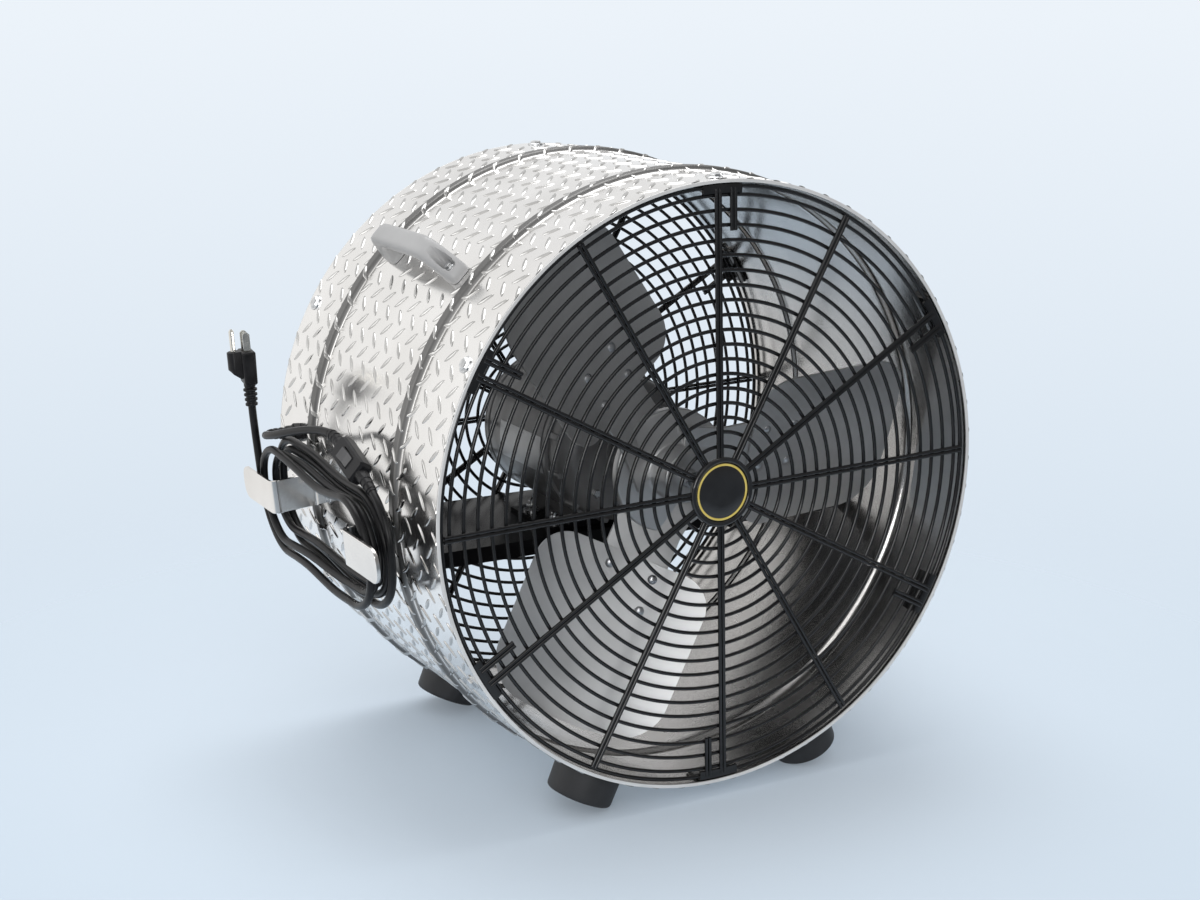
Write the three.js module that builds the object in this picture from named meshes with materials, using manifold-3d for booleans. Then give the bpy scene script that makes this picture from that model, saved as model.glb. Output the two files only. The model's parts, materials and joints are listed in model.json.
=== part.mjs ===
// Drum fan, millimetres, +Z up, front towards -Y. The drum's axis runs along Y.
// Everything is drawn about the drum's axis with the front rim at y = 0, then moved so that
// the origin is under the middle of the fixed parts, on the floor.
import * as THREE from "three";
import { mergeVertices } from "three/addons/utils/BufferGeometryUtils.js";
import Module from "manifold-3d";

const wasm = await Module();
wasm.setup();
const { Manifold, Mesh } = wasm;

// ---- clearances
const GAP = 0.3;                 // between pieces that touch
const RUN_GAP = 0.4;             // shaft in its bore
const CORD_GAP = 0.5;            // least gap between two runs of cord

// ---- drum
const DRUM_R = 270;              // outer radius of the sheet
const DRUM_LENGTH = 360;
const SHEET = 3;
const INNER_R = DRUM_R - SHEET;
const DRUM_SIDES = 72;
const BEAD_INSET = 84;           // bead's middle from its rim
const BEAD_HALF = 8.5;
const BEAD_HEIGHT = 5;

// ---- guards
const WIRE = 3.6;                // thickness of the grille
const RING_COUNT = 18;
const RING_R = INNER_R - 10.6;   // outermost full ring
const LAST_RING_R = 39.31;       // innermost full ring
const RING_PITCH = (RING_R - LAST_RING_R) / (RING_COUNT - 1);
const HOOP_R = INNER_R - 3.2;    // extra hoop beside the drum wall
const SPOKE_COUNT = 12;
const SPOKE_WIDTH = 7;           // a pair of wires side by side
const GUARD_INSET = 4;           // grille's mid plane behind the rim
const GUARD_TURN = -1.5;         // degrees off upright
const GUARD_EYE_R = 26;          // plate at the centre of the grille
const TAB_ANGLES = [0, 60, 120, 180, 240, 300];
const TAB_WIDTH = 30;
const TAB_DEPTH = 24;            // along the drum wall
const TAB_THICK = 3;
const BADGE_R = 31;
const BADGE_THICK = 4;

// ---- fan
const BLADE_COUNT = 3;
const BLADE_START = 86;          // degrees, clockwise from the top, seen from the front
const PITCH = 22.5;              // degrees between blade and fan plane
const TIP_CLEARANCE = 20;        // blade tip to drum
const BLADE_TIP_R = INNER_R - TIP_CLEARANCE;
const BLADE_ROOT = 84;
const BLADE_FRONT = 78;          // chord ahead of the radial line
const BLADE_REAR = 87.5;         // chord behind it
const BLADE_BULGE = 6;
const BLADE_THICK = 2;
const BLADE_TIP_CORNER = 34;
const BLADE_ROOT_CORNER = 30;
const FAN_Y = 81;                // fan plane behind the front rim
const ARM_WIDTH = 62;
const ARM_REACH = 142;
const ARM_THICK = 3;
const SPIDER_R = 57;
const BOSS_R = 24;
const BOSS_FRONT = 26;           // boss ahead of the fan plane
const BOSS_REAR = 40;
const SHAFT_R = 8;
const SHAFT_NOSE = 10;           // shaft ahead of the boss

// ---- motor
const MOTOR_R = 72;
const MOTOR_WALL = 8;
const MOTOR_FRONT = 162;         // y of the front bell's face
const BELL_DEPTH = 32;
const BELL_FACE_R = MOTOR_R - 14;
const BELL_WALL = 7;
const REAR_BELL_DEPTH = 16;
const REAR_CLEARANCE = 23.4;     // motor's rear end from the drum's rear rim
const SHELL_LENGTH = DRUM_LENGTH - REAR_CLEARANCE - MOTOR_FRONT - BELL_DEPTH - REAR_BELL_DEPTH - 2 * GAP;
const RIB_COUNT = 12;            // cooling ribs of the front bell
const RIB_HEIGHT = 3;
const RIB_WIDTH = 6;
const FOOT_PLATE = 3.2;
const SHAFT_HEIGHT = MOTOR_R + FOOT_PLATE + 1;   // motor axis above its foot
const FOOT_HALF_WIDTH = MOTOR_R - 6;
const FOOT_START = MOTOR_FRONT + BELL_DEPTH + 2; // y
const FOOT_LENGTH = SHELL_LENGTH - 42;
const SADDLE_HALF_WIDTH = MOTOR_R - 26;
const SADDLE_WEB = 6;

// ---- cross channel under the motor
const CHANNEL_START = 180;       // y of its front edge
const CHANNEL_LENGTH = DRUM_LENGTH - CHANNEL_START - 22;
const CHANNEL_THICK = 3;
const CHANNEL_LIP = 15;
const CHANNEL_END_LIP = 24;      // lips that follow the drum wall
const CHANNEL_END_MARGIN = 22;

// ---- feet, handles
const FOOT_ANGLE = 24;           // degrees from the bottom
const FOOT_R = 30.5;
const FOOT_HEIGHT = 28;
const FOOT_EDGE = 3;
const FOOT_INSET = 39;           // from either rim
const HANDLE_ANGLE = 45.8;
const HANDLE_LENGTH = DRUM_LENGTH - 2 * (BEAD_INSET + BEAD_HALF) - 25;
const HANDLE_FLAT = HANDLE_LENGTH - 52;          // straight part of the grip
const HANDLE_HEIGHT = 39;
const HANDLE_WIDTH = 20;
const HANDLE_THICK = 13;
const HANDLE_SOLE = 22;          // length of each sole on the drum
const HANDLE_SCREW_R = 5;
const HANDLE_SCREW_DEPTH = 8;

// ---- cord wrap bracket
const BRACKET_ANGLE = -95.1;     // left side, a little below the middle
const BRACKET_WIDTH = 31;
const BRACKET_THICK = 3;
const BRACKET_REACH = 45.6;      // from the drum to the tabs' outer face
const BRACKET_BEND = 5;
const TAB_END_INSET = 20;        // tab ends from either rim
const TAB_CORNER = 12;

// ---- cord
const CORD_R = 3.6;
const CORD_SIDES = 6;
const LOOP_TURNS = 4.5;
const LOOP_STEPS = 24;
const LOOP_CLEAR = 34;           // innermost loop's end from the bracket's leg
const LOOP_SHIFT = 7;            // loops' middle behind the drum's middle
const LOOP_HALF_HEIGHT = 40;
const LOOP_SHAPE = 2.8;
const LOOP_DROP = 5;             // loops' middle below the bracket's
const LOOP_TILT = 0.06;
const LOOP_STEP = 8.4;           // spiral's step per turn
const LOOP_INNER = 14.2;         // inner layer above the drum
const LOOP_LAYER = 9;            // between layers
const GLAND_Y = DRUM_LENGTH - 50;
const GLAND_ANGLE = -86;
const GLAND_R = 9;
const GLAND_NUT = 7;
const GLAND_HEIGHT = 14;
const SWITCH_LENGTH = 46;
const SWITCH_WIDTH = 21;
const SWITCH_THICK = 14;
const SWITCH_AT = [-DRUM_R - 20, 129, 35];
const SWITCH_SLOPE = 20;         // degrees, front end down
const SWITCH_ROLL = 32;          // degrees, rocker's face turned upwards
const SWITCH_ROUND = 2.5;
const RELIEF_R = 6.2;
const RELIEF_LENGTH = 10;
const ROCKER_LENGTH = 17;
const ROCKER_WIDTH = 10;
const ROCKER_SINK = 1.2;
const ROCKER_RISE = 2.2;
const ROCKER_TILT = 8;           // degrees off level at rest
const ROCKER_POCKET = 5;
const PLUG_AT = [-DRUM_R - 41, DRUM_LENGTH - 40, 53]; // foot of the plug's strain relief
const PLUG_TURN = 172;           // degrees, pins' line about the vertical
const PLUG_LEAN = 3.5;            // degrees, towards the round pin
const PLUG_HEIGHT = 31.5;
const PLUG_WIDTH = 25;
const PLUG_THICK = 13;
const PLUG_LOBE_R = 6;
const PLUG_LOBE_SLOPE = 9;       // height of the slope under the lobe
const PLUG_LOBE_AT = 11.9;       // ground pin from the blades
const PLUG_RELIEF_LENGTH = 15;
const PRONG_GAP = 12.7;
const PRONG_WIDTH = 6.35;
const PRONG_THICK = 1.5;
const PRONG_LENGTH = 17;
const GROUND_PIN_R = 2.4;
const GROUND_PIN_LENGTH = 20.5;

// ---- helpers
const rad = THREE.MathUtils.degToRad;
const sin = (d) => Math.sin(rad(d));
const cos = (d) => Math.cos(rad(d));
const v2 = (x, y) => new THREE.Vector2(x, y);
const v3 = (x, y, z) => new THREE.Vector3(x, y, z);

const FOOT_BEVEL = FOOT_EDGE * 0.3;
const AXIS_HEIGHT = (DRUM_R + FOOT_HEIGHT - FOOT_BEVEL) * cos(FOOT_ANGLE)
  + (FOOT_R - FOOT_BEVEL) * sin(FOOT_ANGLE);
const bracketCorner = v2(DRUM_R + BRACKET_REACH, -BRACKET_WIDTH / 2);
const BRACKET_SIDE = -bracketCorner.x * sin(BRACKET_ANGLE) - bracketCorner.y * cos(BRACKET_ANGLE);
const AXIS_X = (BRACKET_SIDE - DRUM_R - BEAD_HEIGHT) / 2;

function solid(geometry) {
  const g = geometry.clone();
  g.deleteAttribute("normal");
  g.deleteAttribute("uv");
  const merged = mergeVertices(g, 1e-3);
  const made = new Manifold(new Mesh({
    numProp: 3,
    vertProperties: new Float32Array(merged.attributes.position.array),
    triVerts: new Uint32Array(merged.index.array),
  }));
  return made;
}

function geometryOf(body) {
  const { vertProperties, triVerts, numProp } = body.getMesh();
  const g = new THREE.BufferGeometry();
  const pos = new Float32Array((vertProperties.length / numProp) * 3);
  for (let i = 0; i < pos.length / 3; i++)
    for (let k = 0; k < 3; k++) pos[3 * i + k] = vertProperties[numProp * i + k];
  g.setAttribute("position", new THREE.BufferAttribute(pos, 3));
  g.setIndex(new THREE.BufferAttribute(new Uint32Array(triVerts), 1));
  return g;
}

// a polygon in X (across) and Z (up), thick from y0 towards +Y
function slabY(points, y0, thick, holes = []) {
  const shape = new THREE.Shape(points);
  for (const hole of holes) shape.holes.push(new THREE.Path(hole));
  const g = new THREE.ExtrudeGeometry(shape, { depth: thick, bevelEnabled: false });
  return g.rotateX(Math.PI / 2).translate(0, y0 + thick, 0);
}

// a revolved closed profile of [radius, y] pairs about the drum's axis
function revolveY(profile, sides = 32) {
  const closed = [...profile, profile[0]].map(([r, y]) => v2(r, y));
  return new THREE.LatheGeometry(closed, sides);
}

function boxAt(x0, x1, y0, y1, z0, z1) {
  return new THREE.BoxGeometry(x1 - x0, y1 - y0, z1 - z0)
    .translate((x0 + x1) / 2, (y0 + y1) / 2, (z0 + z1) / 2);
}

// faceted like the drum, so that what is cut by it follows its facets
const drumCylinder = (r, y0 = -100, y1 = DRUM_LENGTH + 100) =>
  solid(revolveY([[0, y0], [r, y0], [r, y1], [0, y1]].slice(0, 4), DRUM_SIDES));

// clock angle: degrees clockwise from the top, seen from the front
const around = (deg) => v3(sin(deg), 0, cos(deg));
const sideways = (deg) => v3(cos(deg), 0, -sin(deg));

// local X = sideways, Y = along the drum, Z = outwards, at a clock angle
function atClock(geometry, deg) {
  const m = new THREE.Matrix4().makeBasis(sideways(deg), v3(0, 1, 0), around(deg));
  return geometry.applyMatrix4(m);
}

const part = new THREE.Group();
part.name = "drum_fan";
const toPart = v3(AXIS_X, -DRUM_LENGTH / 2, AXIS_HEIGHT);
const finishes = {
  treadplate: ["#d7dade", 0.3, 1],
  black_gloss: ["#0c0d0f", 0.3, 0.2],
  blade_metal: ["#b9bcbf", 0.42, 0.9],
  motor_paint: ["#232529", 0.4, 0.3],
  steel: ["#a9adb2", 0.35, 1],
  grip: ["#c6c8c9", 0.5, 0],
  rubber: ["#17181a", 0.85, 0],
  cord_black: ["#1d1e20", 0.6, 0],
  plug_black: ["#1a1b1d", 0.45, 0],
  prong: ["#c8c6bf", 0.3, 1],
};
function add(name, body, finish) {
  const g = body.isBufferGeometry ? body.clone() : geometryOf(body);
  const [color, roughness, metalness] = finishes[finish];
  const mesh = new THREE.Mesh(
    g.translate(toPart.x, toPart.y, toPart.z),
    new THREE.MeshStandardMaterial({ color, roughness, metalness }),
  );
  mesh.name = name;
  part.add(mesh);
}

// ---- drum: rolled sheet with two swaged beads
function beadAt(y) {
  const slope = BEAD_HALF - 4;
  return [[DRUM_R, y - BEAD_HALF], [DRUM_R + BEAD_HEIGHT, y - slope],
    [DRUM_R + BEAD_HEIGHT, y + slope], [DRUM_R, y + BEAD_HALF]];
}
const rearBead = DRUM_LENGTH - BEAD_INSET;
add("drum_shell", revolveY([
  [INNER_R, 0], [DRUM_R, 0], ...beadAt(BEAD_INSET), ...beadAt(rearBead),
  [DRUM_R, DRUM_LENGTH], [INNER_R, DRUM_LENGTH],
], DRUM_SIDES), "treadplate");

// ---- guards: flat grille of rings and spokes, with tabs along the drum wall
const ringRadii = [HOOP_R, ...Array.from({ length: RING_COUNT }, (_, k) => RING_R - k * RING_PITCH)];
function grille(roundRings) {
  const turn = rad(GUARD_TURN);
  const polar = (r, a) => v2(r * Math.sin(a + turn), r * Math.cos(a + turn));
  const half = Math.PI / SPOKE_COUNT;
  const outline = [];
  for (let i = 0; i < SPOKE_COUNT * 2; i++) outline.push(polar(HOOP_R + WIRE / 2, -i * half));
  const holes = [];
  const arc = (r, a, round) => {
    const edge = Math.asin(SPOKE_WIDTH / 2 / r);
    const ends = [a - half + edge, a + half - edge];
    return (round ? [ends[0], a, ends[1]] : ends).map((t) => polar(r, t));
  };
  for (let s = 0; s < SPOKE_COUNT; s++) {
    const a = (2 * s + 1) * half;
    ringRadii.forEach((r, k) => {
      const next = ringRadii[k + 1] ?? GUARD_EYE_R - WIRE / 2;
      const outer = arc(r - WIRE / 2, a, k < roundRings);
      holes.push([...outer, ...arc(next + WIRE / 2, a, k + 1 < roundRings).reverse()]);
    });
  }
  return slabY(outline, GUARD_INSET - WIRE / 2, WIRE, holes);
}
function guard(roundRings) {
  const wall = drumCylinder(INNER_R - GAP);
  let body = solid(grille(roundRings));
  for (const deg of TAB_ANGLES) {
    const low = INNER_R - TAB_THICK - 1;
    const tab = boxAt(-TAB_WIDTH / 2, TAB_WIDTH / 2, GUARD_INSET - WIRE / 2,
      GUARD_INSET - WIRE / 2 + TAB_DEPTH, low, INNER_R + 5);
    const shelf = boxAt(-TAB_WIDTH / 2, TAB_WIDTH / 2, GUARD_INSET - WIRE / 2,
      GUARD_INSET + WIRE / 2, RING_R - WIRE / 2, INNER_R + 5);
    body = body.add(solid(atClock(tab, deg)).add(solid(atClock(shelf, deg))).intersect(wall));
  }
  return body;
}
const faceRear = (g) => g.mirror([0, 1, 0]).translate([0, DRUM_LENGTH, 0]);
add("front_guard", guard(4), "black_gloss");
add("rear_guard", faceRear(guard(0)), "black_gloss");

const badgeBack = GUARD_INSET - WIRE / 2 - GAP;
add("front_badge", revolveY([
  [0, badgeBack - BADGE_THICK], [BADGE_R - 5, badgeBack - BADGE_THICK],
  [BADGE_R, badgeBack - BADGE_THICK + 2.5], [BADGE_R, badgeBack], [0, badgeBack],
], 24), "black_gloss");

// ---- fan: three pitched paddle blades on a spider
const chord = BLADE_FRONT + BLADE_REAR;
const bulge = (w) => BLADE_BULGE * (1 - ((w + BLADE_FRONT - chord / 2) / (chord / 2)) ** 2);
// w across the chord, s out from the axis, off behind the blade's mid surface
function bladePoint(deg, w, s, off) {
  const lift = off + bulge(w);
  return around(deg).multiplyScalar(s)
    .addScaledVector(sideways(deg), w * cos(PITCH) - lift * sin(PITCH))
    .add(v3(0, FAN_Y + w * sin(PITCH) + lift * cos(PITCH), 0));
}
const cornerCut = (d, r) => (d < r ? r - Math.sqrt(r * r - (r - d) ** 2) : 0);
function blade(deg) {
  const cols = 10, rows = 4;
  const index = (side, i, j) => (side * (cols + 1) + i) * (rows + 1) + j;
  const points = [], faces = [];
  for (const side of [-1, 1])
    for (let i = 0; i <= cols; i++) {
      const d = (chord * (1 - Math.cos((Math.PI * i) / cols))) / 2;
      const edge = Math.min(d, chord - d);
      const w = d - BLADE_FRONT;
      const root = BLADE_ROOT + cornerCut(edge, BLADE_ROOT_CORNER);
      const tip = Math.sqrt(BLADE_TIP_R ** 2 - (w * cos(PITCH)) ** 2) - cornerCut(edge, BLADE_TIP_CORNER);
      for (let j = 0; j <= rows; j++)
        points.push(bladePoint(deg, w, root + ((tip - root) * j) / rows, (side * BLADE_THICK) / 2));
    }
  const quad = (a, b, c, d) => faces.push(a, b, c, a, c, d);
  for (let i = 0; i < cols; i++)
    for (let j = 0; j < rows; j++) {
      quad(index(0, i, j), index(0, i + 1, j), index(0, i + 1, j + 1), index(0, i, j + 1));
      quad(index(1, i, j + 1), index(1, i + 1, j + 1), index(1, i + 1, j), index(1, i, j));
    }
  for (let i = 0; i < cols; i++) {
    quad(index(1, i, 0), index(1, i + 1, 0), index(0, i + 1, 0), index(0, i, 0));
    quad(index(0, i, rows), index(0, i + 1, rows), index(1, i + 1, rows), index(1, i, rows));
  }
  for (let j = 0; j < rows; j++) {
    quad(index(0, 0, j), index(0, 0, j + 1), index(1, 0, j + 1), index(1, 0, j));
    quad(index(1, cols, j), index(1, cols, j + 1), index(0, cols, j + 1), index(0, cols, j));
  }
  const g = new THREE.BufferGeometry().setFromPoints(points);
  g.setIndex(faces);
  return g;
}
const bladeAngles = Array.from({ length: BLADE_COUNT }, (_, k) => BLADE_START - (360 / BLADE_COUNT) * k);
bladeAngles.forEach((deg, k) => add(`fan_blade_${k + 1}`, blade(deg), "blade_metal"));

// spider: arms lie against the blades' rear faces, tapering to a round middle
function spiderArm(deg) {
  const off = BLADE_BULGE + BLADE_THICK / 2 + GAP + ARM_THICK / 2;
  const half = ARM_WIDTH / 2, neck = SPIDER_R * 0.72;
  const inner = BOSS_R / 2;
  const outline = [v2(-neck, inner), v2(neck, inner), v2(half, SPIDER_R - 6), v2(half, ARM_REACH - half / 2),
    v2(half / 2, ARM_REACH), v2(-half / 2, ARM_REACH), v2(-half, ARM_REACH - half / 2),
    v2(-half, SPIDER_R - 6)];
  const g = new THREE.ExtrudeGeometry(new THREE.Shape(outline), { depth: ARM_THICK, bevelEnabled: false });
  const across = sideways(deg).multiplyScalar(-cos(PITCH)).add(v3(0, -sin(PITCH), 0));
  const behind = sideways(deg).multiplyScalar(-sin(PITCH)).add(v3(0, cos(PITCH), 0));
  g.translate(0, 0, off - ARM_THICK / 2);
  return solid(g.applyMatrix4(new THREE.Matrix4().makeBasis(across, around(deg), behind))
    .translate(0, FAN_Y, 0));
}
const bossFront = FAN_Y - BOSS_FRONT, bossRear = FAN_Y + BOSS_REAR;
let spider = solid(revolveY([
  [0, bossFront], [BOSS_R - 3, bossFront], [BOSS_R, bossFront + 3], [BOSS_R, FAN_Y],
  [SPIDER_R, FAN_Y + 3.3], [SPIDER_R, FAN_Y + 12.6], [BOSS_R, FAN_Y + 16], [BOSS_R, bossRear], [0, bossRear],
], 30));
for (const deg of bladeAngles) spider = spider.add(spiderArm(deg));
const bore = (r, y0, y1) => solid(revolveY([[0, y0], [r, y0], [r, y1], [0, y1]], 20));
add("fan_hub", spider.subtract(bore(SHAFT_R + GAP, 0, DRUM_LENGTH)), "blade_metal");

const shaftRear = MOTOR_FRONT + BELL_DEPTH;
add("fan_shaft", revolveY([
  [0, bossFront - SHAFT_NOSE], [SHAFT_R - 1, bossFront - SHAFT_NOSE],
  [SHAFT_R, bossFront - SHAFT_NOSE + 1], [SHAFT_R, shaftRear], [0, shaftRear],
], 20), "steel");

// ---- motor
const shellStart = MOTOR_FRONT + BELL_DEPTH + GAP, shellEnd = shellStart + SHELL_LENGTH;
let frontBell = solid(revolveY([
  [SHAFT_R + RUN_GAP, MOTOR_FRONT - 6], [SHAFT_R + 14, MOTOR_FRONT - 6], [SHAFT_R + 16, MOTOR_FRONT],
  [BELL_FACE_R, MOTOR_FRONT], [MOTOR_R - RIB_HEIGHT, MOTOR_FRONT + 12],
  [MOTOR_R - RIB_HEIGHT, MOTOR_FRONT + BELL_DEPTH],
  [MOTOR_R - RIB_HEIGHT - BELL_WALL, MOTOR_FRONT + BELL_DEPTH],
  [MOTOR_R - RIB_HEIGHT - BELL_WALL, MOTOR_FRONT + BELL_WALL + 6],
  [BELL_FACE_R - BELL_WALL, MOTOR_FRONT + BELL_WALL],
  [SHAFT_R + 14, MOTOR_FRONT + BELL_WALL], [SHAFT_R + 14, MOTOR_FRONT + 20],
  [SHAFT_R + RUN_GAP, MOTOR_FRONT + 20],
], 24));
for (let k = 0; k < RIB_COUNT; k++) {
  const rib = boxAt(-RIB_WIDTH / 2, RIB_WIDTH / 2, MOTOR_FRONT + 12, MOTOR_FRONT + BELL_DEPTH,
    MOTOR_R - RIB_HEIGHT - 3, MOTOR_R);
  frontBell = frontBell.add(solid(atClock(rib, (360 / RIB_COUNT) * (k + 0.5))));
}
add("motor_front_bell", frontBell, "motor_paint");
add("motor_shell", revolveY([
  [MOTOR_R - MOTOR_WALL, shellStart], [MOTOR_R, shellStart],
  [MOTOR_R, shellEnd], [MOTOR_R - MOTOR_WALL, shellEnd],
], 36), "motor_paint");
const rearStart = shellEnd + GAP;
add("motor_rear_bell", revolveY([
  [0, rearStart], [MOTOR_R, rearStart], [MOTOR_R, rearStart + 4],
  [BELL_FACE_R, rearStart + REAR_BELL_DEPTH - 4], [SHAFT_R + 10, rearStart + REAR_BELL_DEPTH - 4],
  [SHAFT_R + 8, rearStart + REAR_BELL_DEPTH], [0, rearStart + REAR_BELL_DEPTH],
], 24), "motor_paint");

// saddle: foot plate with two webs that rise to the shell
const footTop = -SHAFT_HEIGHT + FOOT_PLATE;
const footEnd = FOOT_START + FOOT_LENGTH;
const webX = SADDLE_HALF_WIDTH, webTop = -Math.sqrt(MOTOR_R ** 2 - (webX - 8) ** 2) + 2;
let saddle = solid(slabY([
  v2(-FOOT_HALF_WIDTH, -SHAFT_HEIGHT), v2(FOOT_HALF_WIDTH, -SHAFT_HEIGHT),
  v2(FOOT_HALF_WIDTH, footTop), v2(webX, footTop), v2(webX - SADDLE_WEB, webTop),
  v2(-webX + SADDLE_WEB, webTop), v2(-webX, footTop), v2(-FOOT_HALF_WIDTH, footTop),
], FOOT_START, FOOT_LENGTH));
saddle = saddle.subtract(solid(revolveY([[0, 0], [MOTOR_R + GAP, 0],
  [MOTOR_R + GAP, DRUM_LENGTH], [0, DRUM_LENGTH]], 36)));
add("motor_saddle", saddle, "motor_paint");

// channel across the drum, lips down front and rear, ends lipped along the wall
const channelTop = -SHAFT_HEIGHT - GAP, channelEnd = CHANNEL_START + CHANNEL_LENGTH;
const channelLow = channelTop - CHANNEL_LIP;
let channel = solid(boxAt(-DRUM_R, DRUM_R, CHANNEL_START, channelEnd, channelLow, channelTop))
  .subtract(solid(boxAt(-DRUM_R - 1, DRUM_R + 1, CHANNEL_START + CHANNEL_THICK,
    channelEnd - CHANNEL_THICK, channelLow - 1, channelTop - CHANNEL_THICK)));
const endRing = drumCylinder(DRUM_R + 20).subtract(drumCylinder(INNER_R - GAP - CHANNEL_THICK));
channel = channel.add(solid(boxAt(-DRUM_R, DRUM_R, CHANNEL_START + CHANNEL_END_MARGIN,
  channelEnd - CHANNEL_END_MARGIN, channelTop - CHANNEL_END_LIP, channelTop)).intersect(endRing));
add("cross_channel", channel.intersect(drumCylinder(INNER_R - GAP)), "black_gloss");

// ---- feet
const outsideDrum = drumCylinder(DRUM_R + GAP);
const footYs = { front: FOOT_INSET, rear: DRUM_LENGTH - FOOT_INSET };
for (const [end, y] of Object.entries(footYs))
  for (const [side, deg] of [["left", 180 + FOOT_ANGLE], ["right", 180 - FOOT_ANGLE]]) {
    const g = revolveY([[0, DRUM_R - 8], [FOOT_R, DRUM_R - 8],
      [FOOT_R, DRUM_R + FOOT_HEIGHT - FOOT_EDGE], [FOOT_R - FOOT_BEVEL, DRUM_R + FOOT_HEIGHT - FOOT_BEVEL],
      [FOOT_R - FOOT_EDGE, DRUM_R + FOOT_HEIGHT], [0, DRUM_R + FOOT_HEIGHT]], 24);
    g.rotateX(Math.PI / 2).translate(0, y, 0);
    add(`foot_${end}_${side}`, solid(atClock(g, deg)).subtract(outsideDrum), "rubber");
  }

// ---- handles: moulded bows with a screw recess in each sloping end
function handle(deg) {
  const mid = DRUM_LENGTH / 2, out = HANDLE_LENGTH / 2, flat = HANDLE_FLAT / 2;
  const low = DRUM_R - 6, top = DRUM_R + HANDLE_HEIGHT, under = top - HANDLE_THICK;
  const side = [[-out, low], [-out, DRUM_R + 5], [-flat - 10, top - 6], [-flat + 2, top]];
  const inside = [[flat - 12, under], [flat - 2, under - 7], [out - HANDLE_SOLE, DRUM_R + 4], [out - HANDLE_SOLE, low]];
  const mirrored = (list) => list.map(([y, r]) => [-y, r]).reverse();
  const back = [...inside].reverse();
  const outline = [...side, ...mirrored(side), ...back, ...mirrored(back)];
  const shape = new THREE.Shape(outline.map(([y, r]) => v2(y, r)));
  const g = new THREE.ExtrudeGeometry(shape, {
    depth: HANDLE_WIDTH - 5, bevelThickness: 2.5, bevelSize: 2.5, bevelOffset: -2.5, bevelSegments: 1,
  });
  g.translate(0, 0, -(HANDLE_WIDTH - 5) / 2);
  g.applyMatrix4(new THREE.Matrix4().makeBasis(v3(0, 1, 0), v3(0, 0, 1), v3(1, 0, 0))).translate(0, mid, 0);
  let body = solid(g);
  for (const end of [-1, 1]) {
    const hole = new THREE.CylinderGeometry(HANDLE_SCREW_R, HANDLE_SCREW_R, 40, 12).rotateX(Math.PI / 2)
      .translate(0, mid + end * (out - HANDLE_SOLE / 2), DRUM_R + HANDLE_SCREW_DEPTH + 20);
    body = body.subtract(solid(hole));
  }
  const placed = body.transform(matrixOf(deg));
  return placed.subtract(outsideDrum);
}
function matrixOf(deg) {
  return new THREE.Matrix4().makeBasis(sideways(deg), v3(0, 1, 0), around(deg)).elements;
}
add("handle_left", handle(-HANDLE_ANGLE), "grip");
add("handle_right", handle(HANDLE_ANGLE), "grip");

// ---- cord wrap bracket: one bent strip, two legs and two tabs
const bracketLeg = BEAD_INSET + BEAD_HALF + 0.5;      // outer face of the front leg
const LOOP_HALF_LENGTH = DRUM_LENGTH / 2 - bracketLeg + LOOP_CLEAR;
function bracket() {
  const mid = DRUM_LENGTH / 2, base = DRUM_R + GAP, top = DRUM_R + BRACKET_REACH;
  const t = BRACKET_THICK, b = BRACKET_BEND;
  const y = { end: TAB_END_INSET - mid, leg: bracketLeg - mid };
  const outer = [[y.end, top - t], [y.end, top], [y.leg + t - b * 0.3, top], [y.leg + t, top - b * 0.3],
    [y.leg + t, base + t + b * 0.4], [y.leg + t + b * 0.4, base + t]];
  const lower = [[y.leg + b, base - 6], [y.leg, base - 6], [y.leg, top - t - b * 0.4], [y.leg - b * 0.4, top - t]];
  const mirror = (list) => list.map(([a, r]) => [-a, r]).reverse();
  const outline = [...outer, ...mirror(outer), ...mirror(lower), ...lower];
  const g = new THREE.ExtrudeGeometry(new THREE.Shape(outline.map(([a, r]) => v2(a, r))),
    { depth: BRACKET_WIDTH, bevelEnabled: false }).translate(0, 0, -BRACKET_WIDTH / 2);
  g.applyMatrix4(new THREE.Matrix4().makeBasis(v3(0, 1, 0), v3(0, 0, 1), v3(1, 0, 0))).translate(0, mid, 0);
  const plan = new THREE.Shape();
  const hw = BRACKET_WIDTH / 2, hl = mid - TAB_END_INSET, c = TAB_CORNER;
  plan.moveTo(-hw, -hl + c).absarc(-hw + c, -hl + c, c, Math.PI, 1.5 * Math.PI)
    .absarc(hw - c, -hl + c, c, 1.5 * Math.PI, 2 * Math.PI).absarc(hw - c, hl - c, c, 0, 0.5 * Math.PI)
    .absarc(-hw + c, hl - c, c, 0.5 * Math.PI, Math.PI);
  const rounded = new THREE.ExtrudeGeometry(plan, { depth: 100, bevelEnabled: false, curveSegments: 4 })
    .translate(0, mid, DRUM_R - 20);
  return solid(g).intersect(solid(rounded)).transform(matrixOf(BRACKET_ANGLE)).subtract(outsideDrum);
}
add("cord_bracket", bracket(), "steel");

// ---- cord
// an open curve through given points, or given by a formula of 0..1
class Route extends THREE.Curve {
  constructor(at) { super(); this.at = at; }
  getPoint(t, target = v3(0, 0, 0)) { return target.copy(this.at(t)); }
}
function tube(curve, steps, sides = CORD_SIDES, r = CORD_R) {
  const ring = [];
  for (let i = 0; i < sides; i++) {
    const a = (2 * Math.PI * (i + 0.5)) / sides;
    ring.push(v2((r * Math.cos(a)) / Math.cos(Math.PI / sides / 2), (r * Math.sin(a)) / Math.cos(Math.PI / sides / 2)));
  }
  return new THREE.ExtrudeGeometry(new THREE.Shape(ring), { steps, bevelEnabled: false, extrudePath: curve });
}
const spline = (points) => new THREE.CatmullRomCurve3(points, false, "centripetal");

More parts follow.
